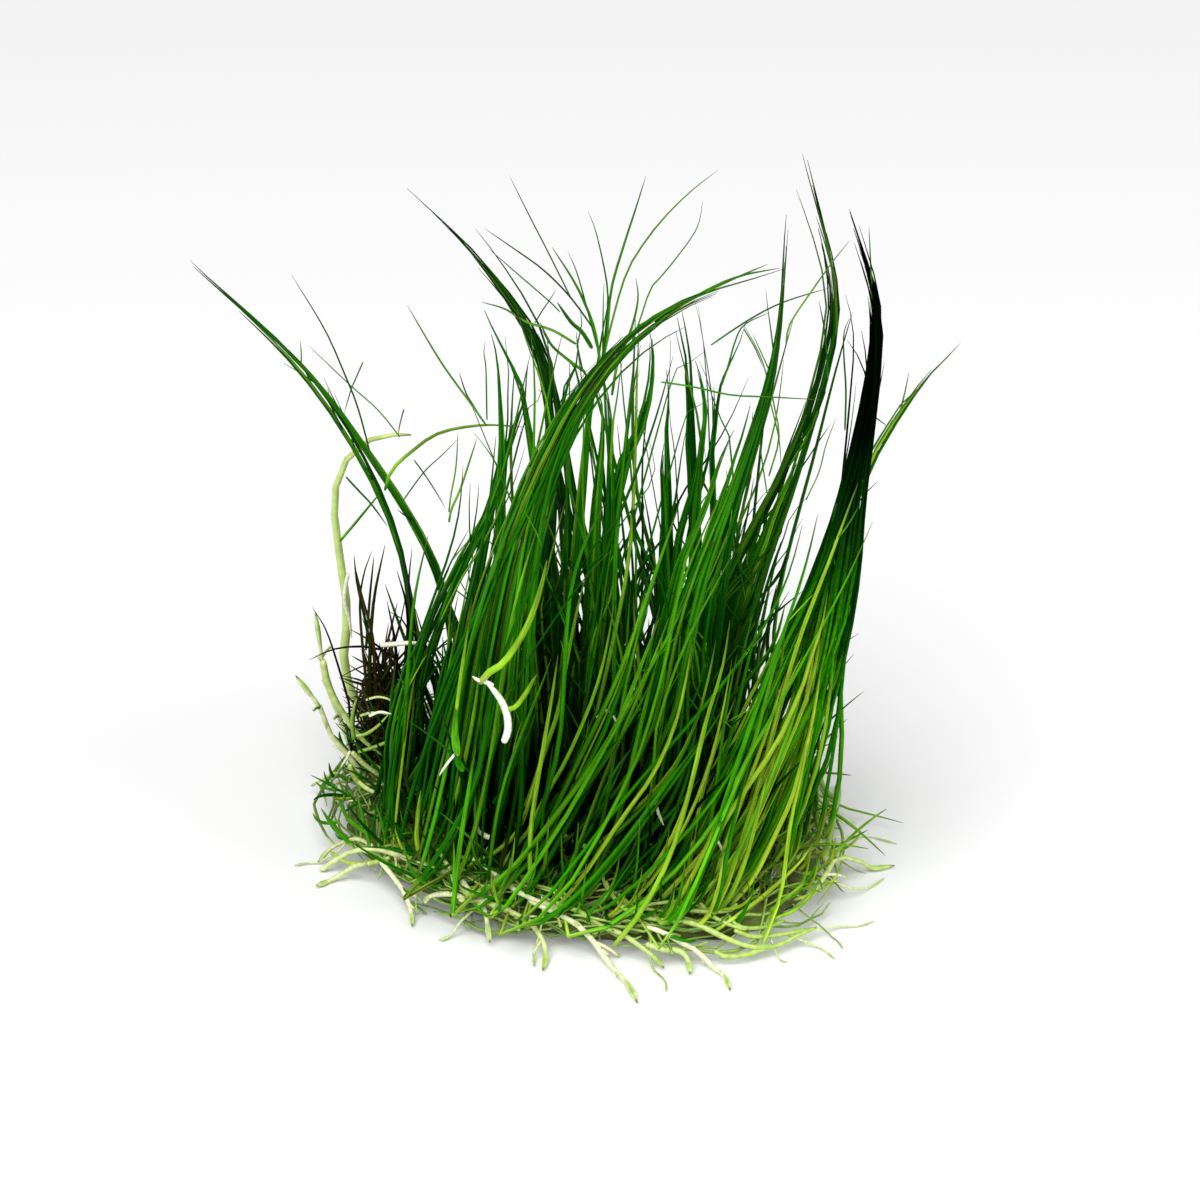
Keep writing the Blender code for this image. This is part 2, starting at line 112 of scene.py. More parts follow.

# Each wisp of tufts: its foot on the pad and the points that its middle passes, the number of tufts, how
# close they come at the tip, its shortest lock as a share of its length, how far the blades' feet spread
# from where they rise, the share of the length where a tuft's blades have closed up, the blades in a tuft,
# and their finish. Where a wisp isn't a common one, it also has fat, the width of its locks, hairs, the
# fine hairs on a tuft, tip, where its blades end, reach, how wide a tuft stands, feet, how far out the
# blades may stand on the pad, curl, how far up they spread, bold, how thick they are, sunk, how strong
# their painted shade is inside the plant, and paler, the lowest tone
WISPS = {
    "front_sweep": dict(
        foot=(-10.8, -6.5), path=((-9.6, -7.5, 20), (-8, -8.5, 34), (-4.6, -9, 48.4), (0.9, -9, 61),
        (8.8, -8.5, 69.4), (20.5, -7.5, 74)), tufts=4, gather=0.16, shortest=0.62, spread=(-3, -2),
        closed=0.62, blades=22, fat=2.0, hairs=3, tip=0.92, finish="green"),
    "left_body": dict(
        foot=(-16.4, 1.4), path=((-15.2, 1, 20), (-12.3, 0.4, 32.5), (-8.8, 0, 43.5), (-6.8, 0, 61.5)),
        tufts=2, gather=0.45, shortest=0.6, spread=(-0.5, -1), closed=0.7, blades=17, hairs=13, feet=0.6,
        reach=0.6, finish="green"),
    "left_front": dict(
        foot=(-18, -5), path=((-16.8, -6, 19), (-14.2, -6, 31.5), (-11, -6, 43), (-9.5, -5, 52)), tufts=2,
        gather=0.5, shortest=0.6, spread=(0.6, -0.5), closed=0.75, blades=13, feet=0.6, reach=0.4,
        finish="fresh"),
    "left_lean": dict(
        foot=(-14.5, 10.5), path=((-16, 10.5, 18.6), (-17.6, 10.5, 29.5), (-22, 10.3, 40.5), (-29.3, 10, 53),
        (-40.5, 10, 65.5)), tufts=2, gather=0.12, shortest=0.6, spread=(1, 1), closed=0.28, blades=7,
        finish="green"),
    "back_left_tall": dict(
        foot=(-1, 9), path=((-1.8, 8, 30), (-2.4, 7.5, 44), (-4.2, 7, 56.5), (-9.8, 7, 66.2),
        (-17.5, 7, 75.2)), tufts=2, gather=0.22, shortest=0.7, spread=(1, 1), closed=0.5, blades=12, fat=1.7,
        finish="deep"),
    # centre_left and centre take the brighter fresh finish: painted light where the front sweep shades them
    "centre_left": dict(
        foot=(-6.2, 1), path=((-5.6, 0.6, 25), (-4.5, 1, 42), (-4.2, 1.5, 54), (-5.5, 2, 64)), tufts=3,
        gather=0.5, shortest=0.6, spread=(0, 0), closed=0.65, blades=9, hairs=1, tip=0.84, finish="fresh"),
    "centre": dict(
        foot=(2, 1), path=((2.2, 1, 29), (2.1, 1, 48), (3.2, 1, 66)), tufts=2, gather=0.5, shortest=0.7,
        spread=(0, 0), closed=0.65, blades=8, hairs=1, tip=0.84, finish="fresh"),
    "centre_right": dict(
        foot=(4.4, -6), path=((4, -4.5, 26), (6, -3.2, 44), (7.7, -2, 64)), tufts=2, gather=0.45,
        shortest=0.65, spread=(-6, -3), closed=0.65, blades=7, hairs=1, curl=0.5, bold=1.1, tip=0.84,
        finish="green"),
    "middle": dict(
        foot=(8.5, 6), path=((9, 5.5, 22), (12, 5, 37), (13.2, 5, 48), (11.7, 5, 61)), tufts=2, gather=0.45,
        shortest=0.65, spread=(0, 1), closed=0.65, blades=6, hairs=1, tip=0.84, finish="green"),
    "right_middle": dict(
        foot=(11.6, -9.4), path=((11.3, -8.4, 22), (12.9, -6, 36), (17.2, -4.8, 50), (20.3, -3.7, 62),
        (21.3, -3, 77.5)), tufts=3, gather=0.2, shortest=0.6, spread=(-8, -4), closed=0.35, blades=7,
        curl=0.5, fat=0.5, hairs=2, finish="green"),
    "right_tall": dict(
        foot=(15, 1.5), path=((15.3, 1.2, 20), (17.5, 1.5, 32), (22.5, 2, 45.5), (25.9, 2.2, 58),
        (26.3, 2.2, 67), (22.6, 2, 82)), tufts=2, gather=0.22, shortest=0.62, spread=(0, 1), closed=0.35,
        blades=11, fat=0.9, hairs=1, finish="deep"),
    "right_edge": dict(
        foot=(21.5, -8), path=((23.3, -8, 17.5), (25.3, -7.5, 29.5), (27.8, -6.5, 45), (29.9, -5.5, 60),
        (30, -5, 68.5), (26.9, -5, 79)), tufts=4, gather=0.3, shortest=0.66, spread=(-8, -5), closed=0.5,
        blades=18, curl=0.5, fat=1.6, sunk=0.5, hairs=2, paler=0.3, reach=0.68, finish="edge"),
    "far_right": dict(
        foot=(24.5, -0.5), path=((26, -1, 27), (28, -1.5, 39), (30.6, -2, 49), (35.6, -2, 58),
        (39.5, -2, 62.5)), tufts=1, gather=0.1, shortest=0.55, spread=(0, 0), closed=0.25, blades=5,
        finish="fresh"),
    "front_centre": dict(
        foot=(2.5, -15), path=((4.5, -15, 20), (7.6, -14, 32), (10.6, -12.8, 41.5), (13.5, -12, 50)), tufts=3,
        gather=0.5, shortest=0.55, spread=(-13, -3), closed=0.8, blades=5, curl=0.62, bold=1.15, sunk=0.8,
        paler=0.15, finish="fresh"),
    "front_right": dict(
        foot=(13.5, -17.5), path=((17, -17.5, 21), (20.4, -16.5, 34), (23.4, -15.5, 44), (25.5, -14.5, 53)),
        tufts=3, gather=0.5, shortest=0.55, spread=(-13, -3), closed=0.8, blades=6, curl=0.62, bold=1.15,
        sunk=0.4, paler=0.3, finish="fresh"),
    "front_left": dict(
        foot=(-7.5, -14.5), path=((-6.6, -15, 20), (-4.2, -15, 34), (-1.2, -14.6, 46), (1.6, -14, 53)),
        tufts=2, gather=0.5, shortest=0.55, spread=(-5, -2), closed=0.8, blades=5, curl=0.6, bold=1.15,
        feet=0.66, finish="fresh"),
    "back_centre": dict(
        foot=(5.5, 14.5), path=((6, 13.5, 25), (6.5, 12.5, 45), (7.5, 11.5, 58)), tufts=2, gather=0.5,
        shortest=0.65, spread=(0, 3), closed=0.65, blades=6, hairs=1, tip=0.84, finish="green"),
    "back_left_low": dict(
        foot=(-7.6, 16), path=((-8, 15.5, 20), (-7.6, 14.6, 36), (-6.4, 14, 50)), tufts=2, gather=0.5,
        shortest=0.65, spread=(-1, 3), closed=0.65, blades=8, hairs=8, tip=0.84, finish="green"),
    "back_right": dict(
        foot=(16.5, 9.5), path=((18, 9, 22), (21, 8.5, 38), (24, 8, 52), (26.5, 8, 62)), tufts=2, gather=0.5,
        shortest=0.65, spread=(1, 3), closed=0.65, blades=6, hairs=1, tip=0.84, finish="deep"),
}

# The old shoots at the left end: half width, tone from 0, brown, to 1, olive, and the points of the picture
# that each passes
OLD_SHOOTS = {
    "brown_a": (0.24, 0.1, (392, 712), (397, 670), (394, 635), (387, 601)),
    "brown_b": (0.26, 0.0, (399, 706), (408, 660), (407, 608), (397, 571)),
    "brown_c": (0.2, 0.2, (404, 704), (413, 655), (404, 622), (388, 611)),
    "olive_a": (0.26, 0.8, (371, 712), (370, 660), (374, 600), (385, 545)),
    "green_a": (0.24, 1.0, (377, 712), (373, 640), (363, 600), (356, 570)),
    "green_b": (0.2, 0.9, (368, 700), (360, 610), (364, 574), (372, 551)),
    "brown_arch": (0.2, 0.15, (404, 690), (395, 658), (368, 647), (335, 649), (309, 660)),
    "brown_thin": (0.16, 0.1, (350, 706), (338, 665), (326, 630), (312, 607)),
    "olive_b": (0.22, 0.7, (386, 706), (380, 668), (371, 640), (362, 618)),
    "brown_d": (0.2, 0.3, (412, 700), (416, 640), (409, 590), (412, 548)),
}
OLD_DEPTH = 7.0

# The fine blades that cross from lock to lock, by their finish: the wisps that they join, and their number
WEBS = {
    "green": {
        ("centre", "centre_right", "middle", "right_middle"): 46,
        ("middle", "right_middle", "right_tall"): 44,
        ("right_middle", "right_edge", "front_right"): 24,
        ("left_body", "left_front", "centre_left"): 22,
        ("right_tall", "right_edge"): 12,
    },
    "deep": {
        ("centre_left", "back_left_tall", "back_left_low"): 14,
        ("centre", "centre_left", "back_centre"): 34,
        ("middle", "back_centre", "back_right"): 28,
        ("right_tall", "back_right"): 9,
    },
}

# Runners and roots that lie over the pad's rim: their thickness, and the points that they pass in plan
LYING = {
    "runner_front_left": (0.9, (-28, -7.6), (-25, -7.4), (-22, -8.4), (-19.4, -10), (-15.6, -12.6),
        (-12, -14.8)),
    "root_front_a": (0.8, (-21.2, -10.2), (-20.2, -11.6), (-18.8, -13.6), (-17.8, -16), (-17.6, -18)),
    "root_front_b": (0.9, (-12.6, -17), (-9.6, -18), (-7.4, -19.4), (-4.8, -21), (-3.4, -23.2), (-3.6, -26)),
    "root_front_long": (0.9, (-5.2, -18.7), (-1.6, -20.7), (1.2, -22.6), (3.6, -25.4), (5.4, -28.6),
        (6.3, -31.6)),
    "root_front_right": (0.8, (7.2, -22.2), (10.4, -23.4), (13.4, -24.8), (15.4, -26.8), (16, -29.4)),
    "runner_right": (0.8, (24.4, -17), (26.4, -13.4), (27.8, -10), (30.6, -8), (34.4, -6.8)),
}
# How thick a bare root is, as a share of the solid that stands in for it with its rootlets
ROOT_SLIMNESS = 0.7
# Stems that stand on the pad: their foot, the points that they pass above it, and their thickness
STANDING = {
    "pale_stem": dict(
        foot=(-22.8, 13.2), path=((-25.2, 14, 9), (-26, 14, 13.5), (-25.4, 14, 19.5), (-26, 14, 26.5),
        (-26.4, 14, 34.5), (-24.4, 14, 40), (-21.2, 14, 42), (-17.9, 14, 42.2)), thick=1.05),
    "runner_left": dict(
        foot=(-23.4, 5), path=((-25.2, 5, 6.6), (-27.2, 5, 9.6), (-28.2, 5, 13), (-30.7, 5, 17.2)),
        thick=0.9),
    "runner_left_up": dict(
        foot=(-24.6, 8.4), path=((-26.4, 8.6, 9.6), (-27.8, 8.8, 14), (-28.2, 9, 18.6), (-28.6, 9.2, 22.8)),
        thick=0.8),
}

# The loose shoot in front: half width, a bulb's tone too, and the points of the picture that each part passes
# from the foot up
LOOSE_DEPTH = -18.0
LOOSE_WHITE = {
    "stem": (0.42, (504, 742), (508, 730), (507, 715), (502, 702), (495, 692), (488, 684), (481, 681)),
    "stub": (0.26, (493, 686), (486, 682), (478, 680), (472, 676)),
    "rootlet": (0.16, (455, 754), (450, 760), (444, 768), (439, 776)),
}
LOOSE_GREEN = {
    "blade": (0.38, (480, 683), (488, 673), (503, 663), (519, 641), (531, 617), (541, 587), (547, 560)),
    "side_blade": (0.28, (505, 710), (515, 707), (524, 696), (531, 684), (537, 674)),
    "bulb_blade": (0.2, (456, 736), (456, 715), (459, 690), (463, 660), (469, 624)),
}
LOOSE_BULBS = {
    "bulb": (0.46, 0.62, (458, 756), (456, 746), (455, 732), (456, 716), (457, 704)),
    "bulb_low": (0.42, 0.3, (463, 771), (460, 766), (457, 760), (455, 752)),
}

# Pale bits that stick out: half width, depth, and the points of the picture that each passes
PALE_BITS = {
    "level_left": (0.28, 5, (382, 645), (396, 644), (408, 643), (424, 643)),
    "stem_strand": (0.24, 13.2, (348, 574), (345, 590), (345, 604), (349, 618), (352, 638)),
    "bit_right": (0.17, -14, (597, 718), (604, 711), (610, 712), (618, 724)),
    "bit_low": (0.2, -16, (655, 798), (658, 812), (664, 826)),
    "bit_low_right": (0.16, -17, (716, 838), (724, 856), (726, 886)),
    "bit_left": (0.16, -8, (369, 716), (380, 712), (392, 714)),
}
# Lime runners that hug the left end: half width, tone from 0, ivory, to 1, olive, depth, and the points of
# the picture that each passes
LIME_RUNNERS = {
    "hugging": (0.36, 0.5, 4, (323, 660), (327, 680), (335, 700), (345, 716), (354, 730), (366, 743),
        (384, 757)),
    "hugging_low": (0.27, 0.55, 3, (350, 764), (353, 775), (362, 786), (376, 794), (396, 798)),
    "crossing_low": (0.3, 0.45, 3, (352, 752), (364, 764), (376, 773), (389, 782)),
    "crossing_fork": (0.16, 0.0, 3, (350, 751), (347, 758), (343, 764), (340, 769)),
    "upright": (0.24, 0.8, 3, (354, 740), (352, 722), (354, 708), (357, 698)),
    "ring_a": (0.2, 0.7, 2, (356, 736), (366, 734), (378, 726), (389, 714)),
    "ring_b": (0.16, 0.5, 4, (360, 716), (370, 713), (382, 713), (392, 716)),
    "ring_c": (0.22, 0.8, 2, (358, 752), (372, 748), (390, 741), (408, 734), (424, 734)),
    "ring_d": (0.14, 0.4, 4, (366, 700), (378, 697), (390, 700), (396, 708)),
    "ring_e": (0.22, 0.75, 2, (372, 764), (385, 772), (396, 785), (402, 798)),
}

# Strands of the rim, which rest on the pad or on the floor: half width, tone from 0, ivory, to 1, lime, and
# greener past it, the lift above where they rest, and the points of the picture that each passes
RIM_STRANDS = {
    "bud_root_left_low": (0.26, 0.35, 0.2, (371, 863), (355, 866), (345, 872), (331, 880), (316, 886)),
    "bud_root_left_high": (0.23, 0.3, 0.2, (373, 846), (357, 839), (341, 843), (329, 850), (318, 862)),
    "green_branch_left": (0.25, 0.85, 0.2, (390, 858), (371, 863), (355, 864), (341, 860), (330, 851)),
    "thick_stub_front": (0.29, 0.0, 0.1, (464, 899), (456, 895), (447, 894), (431, 896), (423, 904)),
    "hanging_root_front": (0.29, 0.05, 0.0, (452, 864), (459, 876), (472, 895), (484, 909), (487, 921),
        (490, 943)),
    "runner_front": (0.28, 0.1, 0.7, (470, 858), (480, 864), (498, 876), (516, 891), (535, 900), (549, 905),
        (565, 915)),
    "runner_front_low": (0.24, 0.6, 0.5, (436, 848), (446, 862), (456, 885), (468, 893), (486, 899)),
    "lime_root_front": (0.26, 0.6, 0.1, (590, 920), (612, 930), (624, 935), (645, 950), (656, 959),
        (664, 968)),
    "curled_root_front": (0.3, 0.5, 0.1, (646, 944), (663, 950), (677, 950), (687, 958), (690, 974)),
    "level_runner_a": (0.23, 0.8, 0.7, (672, 906), (698, 911), (727, 911), (738, 903)),
    "level_runner_b": (0.28, 0.65, 0.3, (682, 921), (701, 926), (730, 940), (753, 947), (775, 946)),
    "level_runner_c": (0.21, 0.9, 0.5, (727, 914), (740, 927), (766, 927), (785, 920)),
    "level_runner_d": (0.23, 0.8, 0.3, (734, 930), (753, 937), (785, 934), (806, 929)),
    "edge_runner_right": (0.25, 0.75, 0.1, (714, 950), (721, 956), (743, 956), (759, 950), (779, 945),
        (798, 935), (817, 927)),
    "slant_shoot_front": (0.28, 0.8, 1.0, (600, 862), (608, 889), (621, 905), (630, 912)),
    "level_runner_e": (0.21, 0.7, 0.5, (700, 903), (712, 916), (730, 925), (748, 930)),
    "level_runner_f": (0.26, 0.85, 0.5, (622, 900), (640, 915), (660, 920), (684, 921)),
    "level_runner_g": (0.26, 0.8, 0.5, (556, 903), (580, 912), (600, 925), (614, 931)),
    "level_runner_h": (0.23, 0.9, 0.4, (508, 868), (525, 880), (548, 890), (570, 897)),
    "pale_stub_right": (0.32, 0.6, 1.5, (727, 835), (740, 849), (754, 853)),
    "pale_bit_middle": (0.26, 0.6, 2.0, (549, 823), (565, 836), (590, 849)),
    "white_bit_left": (0.3, 0.1, 2.4, (478, 827), (485, 836), (499, 839)),
    "white_bit_left_leg": (0.14, 0.2, 2.0, (493, 838), (489, 846), (485, 854)),
    "lime_runner_right_end": (0.26, 0.9, 0.5, (796, 859), (808, 850), (824, 841)),
    "lime_rim_right_end": (0.35, 1.15, 0.4, (838, 784), (837, 800), (834, 815), (829, 840), (823, 864)),
    "lime_rim_right_back": (0.28, 1.15, 0.6, (814, 757), (819, 772), (824, 788), (838, 801)),
    "lime_link_right_end": (0.21, 1.1, 0.4, (836, 815), (826, 818), (812, 826), (802, 838)),
    "thread_right_a": (0.09, 0.3, 0.0, (826, 839), (837, 837), (862, 836), (880, 839), (897, 844)),
    "thread_right_bud": (0.11, 0.4, 0.0, (815, 868), (839, 884), (857, 889), (872, 886), (884, 878)),
    "thread_right_b": (0.09, 0.3, 0.0, (798, 930), (820, 929), (837, 926), (858, 926), (874, 921)),
    "thread_right_c": (0.1, 0.4, 0.0, (786, 935), (809, 943), (822, 949), (835, 959)),
    "thread_right_short": (0.07, 0.3, 0.0, (832, 824), (845, 820), (857, 823)),
    "arc_left_low": (0.26, 0.55, 0.3, (349, 764), (353, 774), (363, 786), (378, 794), (396, 799)),
}
# Young shoots round the pad: half width, tone, and the points of the picture that each passes from the foot
YOUNG_SHOOTS = {
    "slant_left_a": (0.26, 0.6, (381, 842), (361, 829), (347, 817), (337, 796)),
    "slant_left_b": (0.24, 0.5, (352, 846), (342, 836), (333, 827), (321, 808)),
    "slant_left_c": (0.22, 0.6, (370, 848), (366, 830), (362, 814), (357, 794)),
    "slant_left_d": (0.2, 0.6, (389, 846), (385, 834), (382, 822), (376, 804)),
    "wavy_front": (0.32, 0.8, (445, 850), (437, 832), (429, 813), (431, 800), (434, 791)),
    "upright_front": (0.3, 0.9, (420, 862), (417, 840), (418, 815), (421, 790)),
    "crossing_left": (0.26, 0.8, (362, 765), (380, 756), (405, 746), (426, 736)),
    "upright_left_end": (0.26, 0.7, (352, 760), (352, 740), (354, 715), (358, 690)),
}

# The wet locks that net the upper part of the plant: the half width and the tone of their blades, their
# depth, how many blades cling together, and the points of the picture that each lock passes from its foot
# up
LOCKS = {
    "centre_tall": (0.27, 0.45, 2, 4, (612, 520), (618, 485), (628, 450), (637, 435), (643, 418), (648, 398),
        (651, 378), (652, 358), (651, 340), (647, 324)),
    "centre_stem_left": (0.3, 0.5, 1, 3, (596, 520), (599, 480), (602, 450), (603, 425), (602, 405),
        (598, 390)),
    "centre_stem_right": (0.3, 0.4, 0, 3, (612, 510), (612, 470), (612, 440), (611, 415), (608, 395),
        (604, 380)),
    "centre_lime": (0.2, 0.93, 0, 1, (612, 440), (614, 418), (617, 398), (619, 382), (622, 362)),
    "centre_fine": (0.12, 0.15, 3, 1, (622, 470), (626, 440), (630, 412), (632, 398), (636, 385), (640, 370)),
    "twig_centre": (0.1, 0.5, 3, 1, (641, 418), (636, 409), (631, 401)),
    "dark_a": (0.27, 0.3, 2, 2, (668, 500), (667, 460), (666, 430), (668, 408), (668, 388), (666, 370)),
    "dark_b": (0.11, 0.1, 2, 1, (676, 470), (673, 440), (670, 420), (669, 398)),
    "dark_c": (0.32, 0.0, 3, 2, (692, 470), (689, 440), (690, 420), (689, 400), (687, 380), (686, 362),
        (682, 342), (677, 318)),
    "dark_d": (0.26, 0.0, 3, 1, (691, 372), (689, 352), (687, 336), (684, 322), (682, 312)),
    "green_link_a": (0.14, 0.65, 1, 1, (670, 386), (678, 374), (687, 365), (696, 357), (705, 351)),
    "green_b": (0.26, 0.5, 0, 2, (700, 470), (703, 440), (706, 415), (704, 395), (700, 376), (695, 361)),
    "green_c": (0.11, 0.4, 0, 1, (713, 420), (712, 395), (709, 376), (706, 358), (703, 340), (699, 318),
        (695, 302)),
    "green_link_b": (0.16, 0.6, 0, 1, (682, 428), (688, 416), (696, 407), (705, 402), (714, 397)),
    "fine_top": (0.06, 0.3, 2, 1, (670, 364), (671, 348), (669, 330)),
    "left_main": (0.32, 0.45, 3, 2, (500, 520), (500, 485), (500, 458), (501, 436), (500, 418), (499, 398),
        (498, 374), (496, 354), (491, 334)),
    "left_fork": (0.3, 0.35, 4, 2, (500, 468), (508, 447), (514, 434), (516, 422), (522, 410), (525, 395),
        (526, 378), (528, 362)),
    "left_dark": (0.15, 0.1, 4, 1, (505, 450), (508, 425), (507, 408), (508, 392), (509, 376), (507, 356),
        (505, 336)),
    "left_green": (0.28, 0.6, 5, 2, (524, 402), (519, 386), (514, 373), (509, 361), (503, 350), (498, 340),
        (491, 326), (484, 310)),
    "left_green_low": (0.16, 0.5, 2, 1, (535, 462), (533, 446), (530, 430), (527, 418), (524, 406)),
    "left_dark_link": (0.1, 0.1, 4, 1, (526, 416), (534, 404), (541, 396), (543, 386), (546, 374)),
    "upper_green": (0.26, 0.35, 4, 2, (563, 402), (566, 388), (570, 376), (576, 364), (578, 350), (576, 332)),
    "upper_link": (0.2, 0.3, 5, 1, (578, 378), (573, 366), (566, 357), (556, 351), (547, 340), (540, 326)),
    "upper_dark": (0.13, 0.1, 4, 1, (556, 416), (566, 402), (575, 388), (586, 372), (598, 361)),
    "fork_right": (0.19, 0.35, 1, 2, (713, 480), (712, 455), (715, 428), (718, 401), (722, 380), (730, 363),
        (737, 350), (745, 325)),
    "fork_green": (0.15, 0.5, 1, 1, (731, 452), (728, 440), (723, 426), (716, 404), (710, 392), (706, 376),
        (699, 361)),
    "dark_e": (0.17, 0.1, 2, 1, (766, 398), (770, 376), (774, 348), (769, 320), (766, 290)),
    "fork_high": (0.1, 0.3, 2, 1, (708, 400), (706, 374), (704, 347), (698, 305)),
    "fork_base": (0.26, 0.75, 3, 2, (588, 420), (592, 395), (596, 372), (599, 350), (602, 332), (606, 312),
        (611, 294)),
    "twig_upper": (0.22, 0.4, 4, 1, (596, 392), (588, 378), (579, 364), (577, 350), (579, 336), (582, 322),
        (580, 306)),
    "far_right_lock": (0.2, 0.7, -2, 1, (840, 530), (846, 500), (858, 472), (878, 440), (900, 405),
        (918, 388), (930, 376)),
    "net_a": (0.14, 0.4, 0, 1, (618, 530), (628, 514), (640, 500), (650, 485), (655, 470), (653, 455),
        (648, 438)),
    "net_b": (0.3, 0.45, 1, 3, (664, 580), (663, 545), (663, 515), (662, 488), (661, 468), (664, 444)),
    "net_c": (0.22, 0.2, 2, 2, (668, 540), (672, 515), (676, 492), (679, 470), (682, 450), (686, 430)),
    "net_d": (0.24, 0.25, 1, 2, (678, 545), (684, 518), (691, 494), (696, 472), (699, 450), (700, 430)),
    "net_e": (0.28, 0.6, -2, 3, (678, 570), (689, 542), (700, 516), (708, 496), (713, 480), (718, 464),
        (726, 446), (734, 430)),
    "net_f": (0.08, 0.3, -1, 1, (703, 438), (704, 454), (708, 470), (712, 482)),
    "net_g": (0.28, 0.6, -3, 2, (706, 545), (718, 508), (727, 482), (732, 464), (738, 447), (744, 428),
        (750, 405)),
    "net_h": (0.26, 0.45, -2, 2, (730, 540), (738, 506), (744, 480), (749, 460), (755, 442), (762, 420)),
    "net_i": (0.24, 0.7, 3, 2, (738, 600), (736, 560), (733, 530), (730, 508), (728, 488), (726, 470)),
    "net_j": (0.3, 0.5, 1, 4, (742, 590), (754, 560), (763, 538), (770, 518), (777, 502), (785, 486),
        (794, 466), (801, 444)),
    "net_k": (0.1, 0.1, 0, 1, (746, 518), (755, 506), (763, 495), (771, 487), (780, 478)),
    "net_l": (0.26, 0.75, 2, 2, (730, 610), (740, 580), (747, 560), (754, 543), (760, 527), (764, 510)),
    "net_m": (0.14, 0.2, 0, 1, (776, 560), (783, 540), (788, 522), (797, 508), (806, 498)),
    "net_n": (0.12, 0.15, 0, 1, (770, 575), (779, 563), (788, 548), (795, 532), (803, 518)),
    "net_o": (0.16, 0.5, -3, 1, (688, 592), (698, 575), (708, 560), (718, 553), (728, 548)),
    "net_p": (0.14, 0.65, -4, 1, (652, 568), (662, 580), (672, 592), (682, 604), (694, 620)),
    "net_q": (0.2, 0.7, -4, 2, (700, 640), (692, 610), (686, 585), (680, 560), (673, 540)),
    "net_r": (0.24, 0.4, 0, 3, (628, 600), (638, 575), (650, 556), (662, 540), (672, 524)),
}

